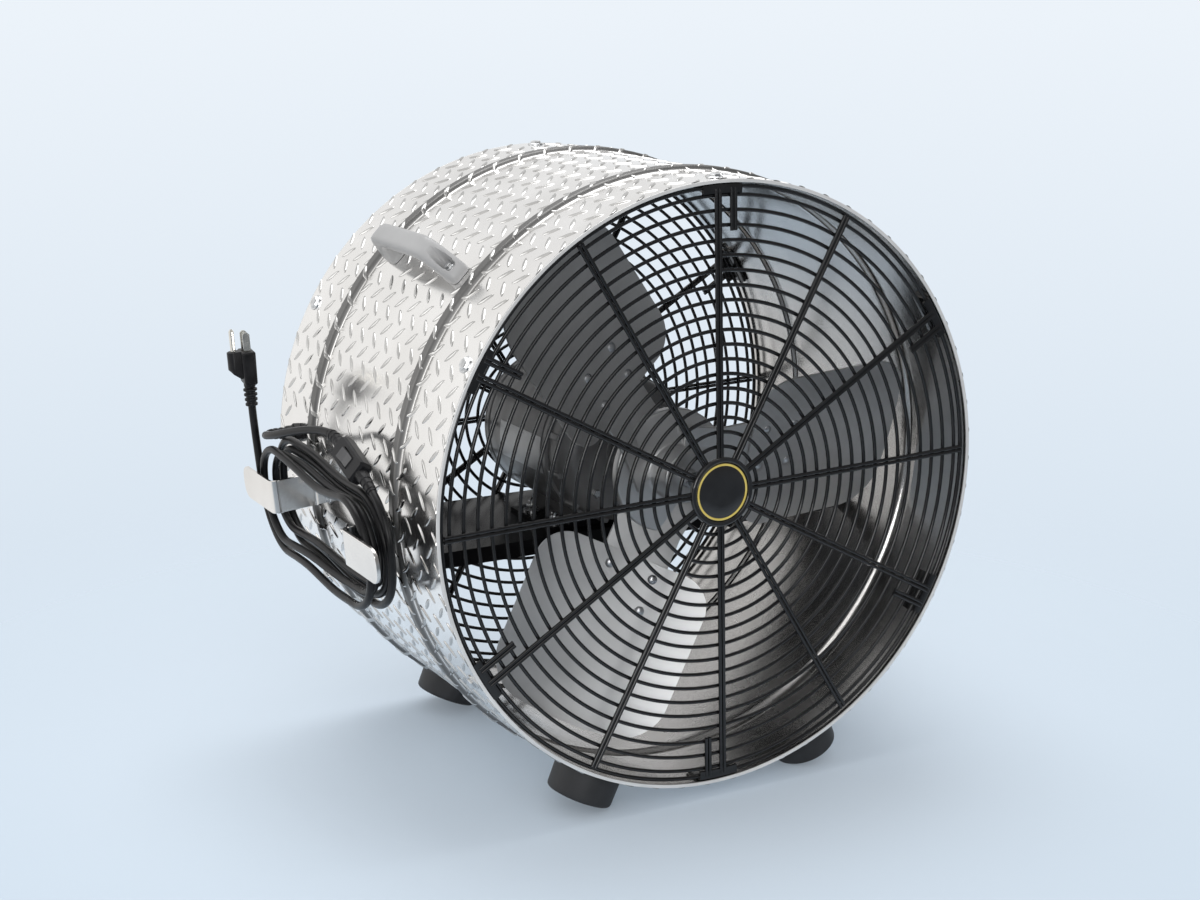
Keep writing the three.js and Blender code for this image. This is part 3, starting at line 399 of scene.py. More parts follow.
def sweep(path, side, section):
    """Section points (a, b) carried along a path and closed at both ends: each ring is
    path + a N + b B, where N is the given side direction made square to the path and B completes
    the frame. section is one outline or one per path point."""
    run = unit(np.gradient(path, axis=0))
    side = np.broadcast_to(np.asarray(side, float), path.shape)
    n = unit(side - (side * run).sum(1, keepdims=True) * run)
    b = np.cross(run, n)
    section = np.broadcast_to(section, (len(path), *np.shape(section)[-2:]))
    points = path[:, None] + section[..., :1] * n[:, None] + section[..., 1:] * b[:, None]
    return (np.concatenate([points.reshape(-1, 3), path[:1], path[-1:]]), *tube_faces(*points.shape[:2]))


def circle(radius, sides):
    a = around(sides)
    return np.stack([np.cos(a), np.sin(a)], 1) * radius


def travelled(path):
    """Length passed at each point of a path."""
    return np.concatenate([[0], np.cumsum(np.linalg.norm(np.diff(path, axis=0), axis=1))])


def at_lengths(path, want):
    """Points at the wanted lengths along a path of two or three coordinates."""
    path = np.asarray(path, float)
    along = travelled(path)
    return np.stack([np.interp(want, along, line) for line in path.T], 1)


def evenly(path, count):
    """The path resampled to points at equal distances."""
    return at_lengths(path, np.linspace(0, travelled(path)[-1], count))


def turned_ring(profile, segments):
    """A closed outline of (radius, y) turned about the drum's axis, as points and quads."""
    a = around(segments)[:, None]
    r, y = np.asarray(profile, float).T
    points = np.stack([np.sin(a) * r, np.broadcast_to(y, (segments, len(y))), np.cos(a) * r], -1)
    return points.reshape(-1, 3), grid_quads(segments, len(profile), True, True)


def wire_ring(radius, y, wire, segments):
    """A round wire bent to a circle about the drum's axis."""
    return turned_ring(circle(wire, 8) + [radius, y], segments)


def welded(points, quads):
    """The same faces with points at one place made one."""
    _, first, back = np.unique(np.round(points, 4), axis=0, return_index=True, return_inverse=True)
    return points[first], back.reshape(-1)[quads]


def block(size, radius, steps=3):
    """A box with round edges: the grid of a cube, each point set a radius out from the nearest
    point of the box that is smaller by that radius."""
    half = np.asarray(size, float) / 2
    bend = np.tan(np.linspace(0, np.pi / 4, steps + 1)) * radius
    lines = [np.concatenate([radius - h - bend[::-1], h - radius + bend]) for h in half]
    points, faces, count = [], [], 0
    for axis in range(3):
        b, c = (axis + 1) % 3, (axis + 2) % 3
        for sign in (-1, 1):
            u, v = np.meshgrid(lines[b], lines[c], indexing="ij")
            q = np.zeros((*u.shape, 3))
            q[..., axis], q[..., b], q[..., c] = sign * half[axis], u, v
            inner = np.clip(q, radius - half, half - radius)
            points.append((inner + unit(q - inner) * radius).reshape(-1, 3))
            quads = grid_quads(*u.shape) + count
            faces.append(quads[:, ::-1] if sign > 0 else quads)
            count += u.size
    return welded(np.concatenate(points), np.concatenate(faces))


def set_at(body, origin, axes):
    """A body moved to an origin, its x, y, z along the three rows of axes."""
    points, *faces = body
    return (np.asarray(points) @ np.asarray(axes) + np.asarray(origin, float), *faces)


def clock_axes(angle):
    """Sideways, along the drum and outwards at a clock angle."""
    out, side = clock(angle)
    return np.array([side, [0, 1.0, 0], out])


def plate(outline, thick, edge):
    """A flat closed plate: an outline round the origin, eased at both faces, fanned from its middle."""
    outline = np.asarray(outline, float)
    n = len(outline)
    small = outline * (1 - edge / np.linalg.norm(outline, axis=1, keepdims=True))
    half = thick / 2
    levels = [(small, -half), (outline, edge - half), (outline, half - edge), (small, half)]
    points = np.concatenate([np.column_stack([o, np.full(n, z)]) for o, z in levels]
                            + [[[0, 0, -half], [0, 0, half]]])
    return (points, *tube_faces(4, n))


def hex_heads(name, across, height, flange, spots, body="base"):
    """Flanged hexagon heads standing outwards, each a washer and a six-sided head. across and
    flange are radii; spots are (clock angle, y, distance from the axis)."""
    washer = [(0, 0), (flange, 0), (flange, 0.7), (flange - 0.6, 1.2), (0, 1.2)]
    head = [(0, 1), (across, 1), (across, height - 0.8), (across - 0.8, height), (0, height)]
    stack = Stack()
    for angle, y, at in spots:
        for profile, sides in ((washer, 20), (head, 6)):
            stack.add(*turned_solid(profile, sides, clock_axes(angle), clock(angle)[0] * at + [0, y, 0]))
    stack.make(name, zinc, "shaft_steel", body=body, sharp=30)


AHEAD = [[1, 0, 0], [0, 0, 1.0], [0, -1.0, 0]]
BACK = [[1, 0, 0], [0, 0, 1.0], [0, 1.0, 0]]


# ======== drum
BEAD_HEIGHT, BEAD_HALF, BEAD_SHOULDER = 4, 8.5, 4.5
RIM = 1.6           # the share of the drum's depth that its cut edge takes at each end
SEGMENTS = 360


def drum_radius(y):
    """Outer radius at y: the drum's own, swelling over each swaged bead with smooth shoulders, by
    the cubic 3t^2 - 2t^3 of the share t of the shoulder that is passed."""
    d = np.abs(np.asarray(y, float)[..., None] - BEAD_YS).min(-1)
    return DRUM_R + BEAD_HEIGHT * eased(np.clip((BEAD_HALF - d) / BEAD_SHOULDER, 0, 1))


def drum_sheet():
    """Rolled sheet: one closed outline of outer and pressed-through inner line, turned about the
    axis, with a rounded cut edge at each end. A point attribute marks the beads, where the
    treadplate's colour is darkened as painted shade."""
    near = np.linspace(-9, 9, 19)
    beads = (BEAD_YS[:, None] + near).ravel()
    y = np.unique(np.concatenate([np.linspace(RIM, DRUM_DEPTH - RIM, 30), beads]))
    outer = np.stack([drum_radius(y), y], 1)
    outline = np.concatenate([outer, (outer - [SHEET, 0])[::-1]])
    points, quads = outward(*turned_ring(outline, SEGMENTS))
    inside = np.arange(len(outline)) >= len(outer)
    sheet = surface("drum_sheet", place(points), [quads], treadplate, "treadplate", replaced=("drum_shell",),
                    second=inner_sheet, second_faces=np.tile(inside, SEGMENTS))
    # bead mask: where it is 1 the treadplate's colour is darkened, as painted shade
    painted_bead_shade = sheet.data.attributes.new("painted_bead_shade", "FLOAT", "POINT")
    swelling = drum_radius(points[:, 1]) - DRUM_R
    painted_bead_shade.data.foreach_set("value", np.clip(swelling / 1.2, 0, 1).astype(np.float32))
    edge = rounded([[-1.5, -0.75], [1.5, -0.75], [1.5, 0.75], [-1.5, 0.75]], 0.45, 3, True)
    rims = Stack()
    for y in (0.8, DRUM_DEPTH - 0.8):
        rims.add(*turned_ring(edge + [DRUM_R - 1.5, y], SEGMENTS))
    rims.make("rim_edges", cut_edge, "treadplate")


drum_sheet()


LUGS_ROUND, LUG_ROWS = 63, np.arange(-1, 15)
# where lugs leave room: clock angle, y, half width round the drum, half length along it
CLEARINGS = [(angle, y, 38, 38) for angle in FOOT_CLOCKS.values() for y in FOOT_YS.values()]
CLEARINGS += [(side * HANDLE_CLOCK, y, 18, 20) for side in (-1, 1) for y in (116, 244)]
CLEARINGS += [(BRACKET_CLOCK, MIDDLE_Y, 22, 96), (GLAND_CLOCK, GLAND_Y, 18, 18)]
CLEARINGS += [(angle, y, 12, 12) for angle in TAB_CLOCKS for y in TAB_YS]


def lug_field():
    """Raised tread lugs: two square lattices of the same pitch, the second set half a pitch over
    with its lugs turned a quarter turn. A lug is a pointed oval 20 mm long whose height falls from
    its ridge to its foot; every point is then wrapped round the drum's own radius at its y."""
    length = 2 * np.pi * DRUM_R
    pitch = length / LUGS_ROUND
    sides, foot_level = 12, -0.3
    c, s = circle(1, sides).T
    oval = np.stack([c, np.sign(s) * np.abs(s) ** 1.3], 1)
    rings = [(10, 2.5, foot_level), (8.7, 1.7, 0.65), (6.2, 0.6, 0.95)]
    lug = np.concatenate([np.column_stack([oval * [half, wide], np.full(sides, high)])
                          for half, wide, high in rings] + [[[0, 0, foot_level], [0, 0, 1.0]]])
    quads, *caps = tube_faces(len(rings), sides)
    centres, turns = [], []
    for shift, turn in ((0.0, 45.0), (0.5, -45.0)):
        u, v = np.meshgrid((np.arange(LUGS_ROUND) + shift) * pitch, (LUG_ROWS + shift) * pitch + 4)
        centres.append(np.stack([u.ravel(), v.ravel()], 1))
        turns.append(np.full(u.size, np.radians(turn)))
    centres, turns = np.concatenate(centres), np.concatenate(turns)
    keep = (centres[:, 1] > -5) & (centres[:, 1] < DRUM_DEPTH + 5)
    for angle, y, wide, long in CLEARINGS:
        arc = (centres[:, 0] - np.radians(angle) * DRUM_R + length / 2) % length - length / 2
        keep &= (arc / wide) ** 2 + ((centres[:, 1] - y) / long) ** 2 > 1
    centres, turns = centres[keep], turns[keep]
    c, s = np.cos(turns)[:, None], np.sin(turns)[:, None]
    u = centres[:, :1] + c * lug[:, 0] - s * lug[:, 1]
    v = centres[:, 1:] + s * lug[:, 0] + c * lug[:, 1]
    inside = (v.max(1) > 2) & (v.min(1) < DRUM_DEPTH - 2)
    u, v = u[inside], np.clip(v[inside], 0.8, DRUM_DEPTH - 0.8)
    r = drum_radius(v) + lug[:, 2]
    points = np.stack([np.sin(u / DRUM_R) * r, v, np.cos(u / DRUM_R) * r], -1)
    many = np.arange(len(u))[:, None, None] * len(lug)
    return outward(points, (quads + many).reshape(-1, 4), (np.concatenate(caps) + many).reshape(-1, 3))


# lugs in the darker copy of the plate's metal: painted shade
single(lug_field(), "tread_lugs", lug_metal_painted_shade, "treadplate", sharp=60)


# ======== guards
RINGS, RING_OUTER, RING_PITCH, RING_WIRE = 18, 256.4, 12.77, 1.7
EDGE_RING, HUB_RING, EDGE_WIRE = 263.8, 26.6, 1.9
SPOKES, SPOKE_SPAN, SPOKE_GAP, SPOKE_WIRE = 12, (27.0, 262.5), 1.8, 1.75
CLIP_SPAN, CLIP_OFFSETS = (226.0, 262.5), (13.4, 17.0)
RING_Y, SPOKE_Y = 5.6, 2.4


def strip(half_thick, half_wide, radius):
    """Section of a flat strip with rounded corners."""
    return rounded([[-half_thick, -half_wide], [half_thick, -half_wide], [half_thick, half_wide],
                    [-half_thick, half_wide]], radius, 2, closed=True)


def guard(end):
    """Welded wire guard: rings of round wire on pairs of straight spokes, six wall plates with
    short wires beside the spoke. The rear guard is the front one mirrored."""
    def at(y):
        return y if end == "front" else DRUM_DEPTH - y

    stack = Stack()

    def straight(span, angle, offset):
        out, side = clock(angle)
        ends = np.array(span)[:, None] * out + side * offset + [0, at(SPOKE_Y), 0]
        stack.add(*sweep(evenly(ends, 3), side, circle(SPOKE_WIRE, 8)))

    rings = [(RING_OUTER - RING_PITCH * k, RING_WIRE, 240 if k < RINGS / 2 else 140) for k in range(RINGS)]
    for radius, wire, segments in rings + [(EDGE_RING, EDGE_WIRE, 240), (HUB_RING, EDGE_WIRE, 80)]:
        stack.add(*wire_ring(radius, at(RING_Y), wire, segments))
    for k in range(SPOKES):
        for offset in (-SPOKE_GAP, SPOKE_GAP):
            straight(SPOKE_SPAN, 360 / SPOKES * k + GUARD_TURN, offset)
    for angle in TAB_CLOCKS:
        for offset in CLIP_OFFSETS:
            straight(CLIP_SPAN, angle, offset)
        out, _ = clock(angle + np.linspace(-3.2, 5.2, 10))
        stack.add(*sweep(out * 264.9 + [0, at(14), 0], out, strip(1.4, 11.5, 0.7)))
        stack.add(*sweep(out * 262.2 + [0, at(3.2), 0], out, strip(4.0, 1.4, 0.6)))
    stack.make(f"{end}_wire_guard", guard_black, "black_gloss", replaced=(f"{end}_guard",), sharp=50)


guard("front")
guard("rear")


def badge():
    """Blank round badge: black rim, sunk black face and a thin plain ring."""
    rim = rounded([[26.5, 0.2], [26.5, -1.6], [28, -2.1], [30, -2.1], [31, -1.2], [31, 1.9], [0.2, 1.9],
                   [0.2, 0.2]], [0.3, 0.8, 0.8, 0.8, 0.8, 0.4, 0, 0], 3, closed=True)
    single(turned_ring(rim, 96), "badge_disc", badge_black, "black_gloss", replaced=("front_badge",))
    face = [(0, 0), (26.2, 0), (26.2, 0.5), (25.6, 0.9), (12, 1.2), (0, 1.3)]
    single(turned_solid(face, 72, AHEAD, [0, 0.1, 0]), "badge_face", badge_black, "black_gloss")
    ring = circle(1.0, 10) * [1, 0.42] + [24.4, -0.95]
    single(turned_ring(ring, 96), "badge_ring", badge_gold, "shaft_steel")


badge()
hex_heads("guard_screws", 5.6, 3.4, 7.4,
          [(angle + 1.0, y, DRUM_R + 0.1) for angle in TAB_CLOCKS for y in TAB_YS])


# ======== fan
PITCH = np.radians(22.5)
FAN_Y = 81.0
BLADES = [86.0, -34.0, -154.0]
CHORD, CHORD_START, CHORD_MIDDLE, CAMBER = 165.5, -78, 4.75, 6
ROOT_R, TIP_R, ROOT_CORNER, TIP_CORNER = 84, 247, 30.0, 34.0


def blade_axes(angle):
    """Across the chord, outwards, and behind the blade's face, at a blade's clock angle."""
    out, side = clock(angle)
    y = np.array([0, 1.0, 0])
    c, s = np.cos(PITCH), np.sin(PITCH)
    return np.array([side * c + y * s, out, y * c - side * s])


def blade_spot(angle, w, s, off):
    """Point w across the chord, s out and off behind: the chord's camber is a parabola."""
    w, s, off = np.broadcast_arrays(*(np.asarray(v, float) for v in (w, s, off)))
    lift = off + CAMBER * (1 - ((w - CHORD_MIDDLE) / (CHORD / 2)) ** 2)
    return np.stack([w, s, lift], -1) @ blade_axes(angle) + [0, FAN_Y, 0]


def blade(angle):
    """Paddle blade: a grid across and along the blade between a root and a tip line with circular
    corners; the two faces are 2 mm apart and joined round the edge."""
    cols, rows = 72, 26
    d = CHORD * (1 - np.cos(np.pi * np.linspace(0, 1, cols + 1))) / 2
    edge = np.minimum(d, CHORD - d)
    w = d + CHORD_START
    root = ROOT_R + corner_cut(edge, ROOT_CORNER)
    tip = np.sqrt(TIP_R ** 2 - (w * np.cos(PITCH)) ** 2) - corner_cut(edge, TIP_CORNER)
    s = root + (tip - root) * np.linspace(0, 1, rows + 1)[:, None]
    faces = [blade_spot(angle, w[None], s, off).reshape(-1, 3) for off in (-1, 1)]
    n = (rows + 1) * (cols + 1)
    front = grid_quads(rows + 1, cols + 1)
    index = np.arange(n).reshape(rows + 1, cols + 1)
    loop = np.concatenate([index[0, :-1], index[:-1, -1], index[-1, :0:-1], index[:0:-1, 0]])
    after = np.roll(loop, -1)
    side = np.stack([loop, loop + n, after + n, after], 1)
    back = front[:, ::-1] + n
    return np.concatenate(faces), np.concatenate([front, side, back])


for k, angle in enumerate(BLADES):
    single(blade(angle), f"paddle_blade_{k + 1}", blade_grey, "blade_metal", body="fan",
           replaced=(f"fan_blade_{k + 1}",))
rivets = Stack()
for angle in BLADES:
    for w, s in ((-21, 98), (21, 98), (-21, 129), (21, 129)):
        rivets.add(*turned_solid([(0, 0), (4.6, 0), (4.3, 1.1), (3.0, 2.1), (1.4, 2.5), (0, 2.6)], 20,
                                 blade_axes(angle) * [[1], [1], [-1]], blade_spot(angle, w, s, -1.0)))
rivets.make("blade_rivets", steel, "blade_metal", body="fan")


def hub():
    """Spider: round boss with a bore, and three flat arms behind the blades."""
    stack = Stack()
    boss = rounded([[8.3, 55], [24, 55], [24, 81], [57, 84.3], [57, 93.6], [24, 97], [24, 121], [8.3, 121]],
                   [0.6, 2.5, 4, 2, 2, 4, 2, 0.6], 4, closed=True)
    stack.add(*turned_ring(boss, 96))
    arm = rounded([[-41, 12], [41, 12], [31, 51], [31, 126.5], [15.5, 142], [-15.5, 142], [-31, 126.5],
                   [-31, 51]], [1, 1, 8, 12, 8, 8, 12, 8], 5, closed=True)
    middle = 77
    shape = plate(arm - [0, middle], 3.0, 0.5)
    for angle in BLADES:
        axes = blade_axes(angle)
        spot = blade_spot(angle, CHORD_MIDDLE, middle, 2.8) - axes[0] * CHORD_MIDDLE
        stack.add(*set_at(shape, spot, axes))
    stack.make("spider_hub", blade_grey, "blade_metal", body="fan", replaced=("fan_hub",))
    hex_heads("hub_screws", 3.4, 3.0, 4.6, [(angle + 26, 110, 23.9) for angle in (0, 120, 240)], body="fan")
    shaft = rounded([[0, 45], [8, 45], [8, 194], [0, 194]], [0, 1.2, 0.5, 0], 4)
    single(turned_solid(shaft, 48, BACK), "drive_shaft", steel, "shaft_steel", body="fan",
           replaced=("fan_shaft",))


hub()


# ======== motor and channel
def motor():
    """Motor: cast front bell with ribs, plain shell, dished rear bell, blank label and the bolts
    of its front and of its saddle."""
    bell = rounded([[8.4, 156], [22, 156], [24, 162], [58, 162], [69, 174], [69, 194], [62, 194], [62, 175],
                    [51, 169], [22, 169], [22, 182], [8.4, 182]],
                   [1, 2, 1, 6, 6, 0.5, 0.5, 3, 3, 1, 1, 0.5], 5, True)
    stack = Stack().add(*turned_ring(bell, 120))
    for k in range(12):
        angle = 30 * (k + 0.5)
        stack.add(*set_at(block((6, 20, 7), 1.6), clock(angle)[0] * 68.5 + [0, 183.8, 0], clock_axes(angle)))
    stack.make("front_bell", motor_grey, "motor_paint", replaced=("motor_front_bell",))
    shell = rounded([[64, 194.3], [72, 194.3], [72, 200], [71.2, 201], [71.2, 203], [72, 204], [72, 311],
                     [71.2, 312], [71.2, 314], [72, 315], [72, 320.3], [64, 320.3]], 0.4, 2, True)
    single(turned_ring(shell, 144), "stator_shell", motor_grey, "motor_paint", replaced=("motor_shell",))
    rear = rounded([[0, 320.6], [72, 320.6], [72, 325], [58, 332.5], [18, 332.5], [16, 336.6], [0, 336.6]],
                   [0, 0.5, 4, 4, 2, 1, 0], 5)
    single(turned_solid(rear, 96, BACK), "rear_bell", motor_grey, "motor_paint",
           replaced=("motor_rear_bell",))
    out, _ = clock(-93.4 + np.linspace(-14, 14, 24))
    label = sweep(out * 72.3 + [0, 246, 0], out, strip(0.25, 42, 0.2))
    single(label, "blank_label", label_silver, "motor_paint")
    bolts = Stack()
    for angle in (45, 135, 225, 315):
        spot = clock(angle)[0] * 50 + [0, 162, 0]
        bolts.add(*turned_solid([(0, -0.2), (4.2, -0.2), (4.2, 2.6), (3.4, 3.4), (0, 3.4)], 6, AHEAD, spot))
    saddle_bolt = [([(0, 0), (8.5, 0), (8.5, 1.5), (0, 1.5)], 24),
                   ([(0, 1.4), (5.6, 1.4), (5.6, 5.6), (4.8, 6.4), (0, 6.4)], 6),
                   ([(0, 6.3), (3, 6.3), (3, 9.5), (2.4, 10), (0, 10)], 16)]
    for x in (-54, 54):
        for y in (211, 258):
            for profile, sides in saddle_bolt:
                bolts.add(*turned_solid(profile, sides, np.eye(3), [x, y, -73.0]))
    bolts.make("motor_bolts", zinc, "shaft_steel", sharp=30)


motor()


# ======== feet and handles
def foot(angle, y):
    """Round rubber foot: turned about its own line outwards, its top cut to the drum's curve by
    the height sqrt(R^2 - x^2) at each side distance x."""
    sides, sole, seat = 64, 298, DRUM_R + 0.3
    a = around(sides)[:, None]
    low = np.array([[14, sole], [26.5, sole], [28.3, 297.5], [29.5, 296.4], [30.0, 294.8], [30.5, 276]])
    radius = np.concatenate([low[:, 0], [30.5, 29.6, 15]])
    x = np.cos(a) * radius
    top = x[:, len(low):]
    height = np.hstack([np.tile(low[:, 1], (sides, 1)), np.sqrt(seat ** 2 - top ** 2) + [1.0, 0, 0]])
    grid = np.stack([x, np.sin(a) * radius, height], -1)
    points = np.concatenate([grid.reshape(-1, 3), [[0, 0, sole], [0, 0, seat]]])
    return set_at((points, *lathe_faces(sides, len(radius))), [0, y, 0], clock_axes(angle))


for end, y in FOOT_YS.items():
    for side, angle in FOOT_CLOCKS.items():
        single(foot(angle, y), f"rubber_foot_{end}_{side}", foot_rubber, "foot_rubber",
               replaced=(f"foot_{end}_{side}",), sharp=50)


POCKET_FLOOR = 281


def handle(angle):
    """Moulded bow: between an outer and an inner line, both with rounded bends, runs a superellipse
    section; an oval pocket in each sloping end is pressed in to a flat floor."""
    def line(half, bends):
        """The left half's corners and their mirror image, with rounded bends."""
        half = np.array(half)
        corners = np.concatenate([half, half[::-1] * [-1, 1]])
        return evenly(rounded(corners, bends + bends[::-1], 8), count)

    count, sides, power = 260, 72, 0.5
    outer = line([[-75, 270.3], [-75, 276], [-57, 303], [-47, 309]], [0, 4, 12, 10])
    inner = line([[-53, 270.3], [-53, 275], [-47, 288], [-37, 296]], [0, 2, 10, 10])
    c, s = (np.sign(v) * np.abs(v) ** power for v in circle(1, sides).T)
    middle, half = (outer + inner) / 2, (outer - inner) / 2
    flat = middle[:, None] + half[:, None] * c[None, :, None]
    x = np.broadcast_to(s * 10, flat.shape[:2])
    out = flat[..., 1].copy()
    reach = ((np.abs(flat[..., 0]) - HANDLE_SCREW_REACH) / 9.5) ** 2 + (x / 5.6) ** 2
    sunk = eased(np.clip((1.0 - reach) / 0.22, 0, 1) * (c[None] > 0.3))
    out -= sunk * np.maximum(out - POCKET_FLOOR, 0)
    grid = np.stack([x, flat[..., 0], out], -1)
    points = np.concatenate([grid.reshape(-1, 3), grid[[0, -1]].mean(1)])
    return set_at((points, *tube_faces(count, sides)), [0, MIDDLE_Y, 0], clock_axes(angle))


for side, angle in (("left", -HANDLE_CLOCK), ("right", HANDLE_CLOCK)):
    single(handle(angle), f"moulded_handle_{side}", grip_grey, "grip_plastic",
           replaced=(f"handle_{side}",), sharp=45)
hex_heads("handle_screws", 3.6, 4.2, 4.8,
          [(angle, MIDDLE_Y + reach, POCKET_FLOOR) for angle in (-HANDLE_CLOCK, HANDLE_CLOCK)
           for reach in (-HANDLE_SCREW_REACH, HANDLE_SCREW_REACH)])


# ======== cord
CORD_R = 3.6
LOOP_TURNS, LOOP_HALF_LENGTH, LOOP_HALF_HEIGHT = 4.5, 112, 34
LOOP_SHIFT, LOOP_DROP, LOOP_TILT, LOOP_STEP, LOOP_INNER, LOOP_LAYER = 9, 4, 0.06, 8.4, 17.5, 9
LOOP_DIP, LOOP_SAG, LOOP_WAVE, LOOP_WAVE_RUN = 10, 0.12, 1.6, 21
TOP_LAYER, TOP_CLIMB = 0.94, (3.12, 3.42)
bracket_out, bracket_up = clock(BRACKET_CLOCK)


def smooth(value, low, high):
    """eased() of the share of the way from low to high."""
    return eased(np.clip((value - low) / (high - low), 0, 1))


def loop_points(turns):
    """Centreline of the wound cord. Straight sides and round ends, pushed outwards by a spiral
    that closes in over the first half of the turns and opens again over the second; the cord
    climbs one layer where it reverses. The last turn lies on top of the others and dips across
    them on the upper side, as a squared sine."""
    a = np.radians(np.arange(361))
    c, s = np.cos(a), np.sin(a)
    ring = np.stack([(LOOP_HALF_LENGTH - LOOP_HALF_HEIGHT) * np.sign(c) + LOOP_HALF_HEIGHT * c,
                     LOOP_HALF_HEIGHT * s], 1)
    length = travelled(ring)
    want = ((turns + 0.5) % 1) * length[-1]
    n = unit(np.stack([np.interp(want, length, side) for side in (c, s)], 1))
    middle = LOOP_TURNS / 2
    offset = LOOP_STEP * np.abs(turns - middle)
    climb = smooth(turns, middle - 0.25, middle + 0.25) + TOP_LAYER * smooth(turns, *TOP_CLIMB)
    dip = LOOP_DIP * np.sin(2 * np.pi * turns) ** 2 * (turns > 3.5) * (turns < 4)
    sag = LOOP_SAG * offset * np.clip(-n[:, 1], 0, 1) ** 2
    y, up = (at_lengths(ring, want) + n * offset[:, None]).T
    up = up - LOOP_DROP + LOOP_TILT * y - dip - sag + LOOP_WAVE * np.sin(y / LOOP_WAVE_RUN)
    out = DRUM_R + LOOP_INNER + LOOP_LAYER * climb
    along = MIDDLE_Y + LOOP_SHIFT + y
    return np.outer(out, bracket_out) + np.outer(up, bracket_up) + np.outer(along, [0, 1, 0])


def joined(start, start_run, end, end_run, reach):
    """Cubic Hermite curve between two points, with both end tangents reach mm long."""
    t = np.linspace(0, 1, 200)[:, None]
    return (start + eased(t) * (end - start)
            + reach * t * (1 - t) * ((1 - t) * start_run - t * end_run))


SWITCH_MID = np.array([-290.0, 129, 35])
SWITCH_REACH = 46 / 2 + 10 + 0.3        # half the switch's length, its relief and a gap
slope = np.radians(20)
switch_run = np.array([0, -np.cos(slope), -np.sin(slope)])
switch_out, switch_in = SWITCH_MID + switch_run * SWITCH_REACH, SWITCH_MID - switch_run * SWITCH_REACH

PLUG_FOOT = np.array([-311.0, 320, 53])
lean, turned = np.radians(3.5), np.radians(172)
PLUG_AXES = np.array([[np.cos(lean), 0, -np.sin(lean)], [0, 1.0, 0], [np.sin(lean), 0, np.cos(lean)]]) @ [
    [np.cos(turned), np.sin(turned), 0], [-np.sin(turned), np.cos(turned), 0], [0, 0, 1.0]]

loop_start, loop_next = loop_points(np.array([0.0, 0.02]))
loops = loop_points(np.linspace(0, LOOP_TURNS, 4000))
entry = joined(switch_out, switch_run, loop_start, unit(loop_next - loop_start), 92)
tail = joined(loops[-1], unit(loops[-1] - loops[-2]), PLUG_FOOT - PLUG_AXES[2] * 0.3, PLUG_AXES[2], 78)
main_path = evenly(np.concatenate([entry[:-1], loops[:-1], tail]), 900)

gland_out, _ = clock(GLAND_CLOCK)
gland_end = gland_out * (DRUM_R + 14.3) + [0, GLAND_Y, 0]
lead_top, lead_run = np.array([-311.0, 276, 28]), unit([0.03, -1.0, 0.22])
lead_path = evenly(np.concatenate([joined(gland_end, gland_out, lead_top, lead_run, 52)[:-1],
                                   joined(lead_top, lead_run, switch_in, switch_run, 96)]), 110)
declared = []


def cord_piece(name, path, side, replaced):
    """A round jacket along a path."""
    points, *faces = outward(*sweep(path, side, circle(CORD_R, 16)))
    piece = surface(name, place(points), [faces[0], np.concatenate(faces[1:])], cord_black, "cord_rubber",
                    replaced=replaced)
    declared.append(lambda: piece)


cord_piece("lead_cord", lead_path, bracket_up, ("cord_lead",))
cord_piece("wound_cord", main_path, bracket_out, ("cord_wound", "cord_tail"))

RELIEF_LENGTH, RELIEF_RINGS, RELIEF_RISE = 24, 4, 0.35


def sleeve(root, path, start, end):
    """Tapered moulded relief with rings, from a root inside its body along the first part of a
    path. start and end are its radii."""
    t = np.linspace(0, 1, 48)
    spots = at_lengths(np.concatenate([[root], path]), t * RELIEF_LENGTH)
    rings = RELIEF_RISE * np.sign(np.sin(t * 2 * np.pi * RELIEF_RINGS)) * (t > 0.05) * (t < 0.95)
    radius = start + (end - start) * t + rings
    return sweep(spots, [0.0, 0.2, 1.0], circle(1, 28)[None] * radius[:, None, None])


gland_place = clock_axes(GLAND_CLOCK), [0, GLAND_Y, 0]
nut = [(0, 270.2), (9, 270.2), (9, 276.4), (8.4, 277), (0, 277)]
neck = rounded([(0, 276.8), (7, 276.8), (6.8, 283), (5, 284.3), (0, 284.3)], [0, 0.4, 2, 1, 0], 4)
gland = Stack().add(*turned_solid(nut, 6, *gland_place)).add(*turned_solid(neck, 32, *gland_place))
gland.add(*sleeve(gland_end - gland_out * 4, lead_path, 5.6, 4.2))
gland.make("gland_and_relief", plug_black, "plug_plastic", replaced=("cord_gland",), sharp=40)
reliefs = Stack().add(*sleeve(switch_in + switch_run * 9, lead_path[::-1], 5.4, 4.1))
reliefs.add(*sleeve(switch_out - switch_run * 9, main_path, 5.4, 4.1))
reliefs.make("switch_reliefs", plug_black, "plug_plastic", sharp=40)


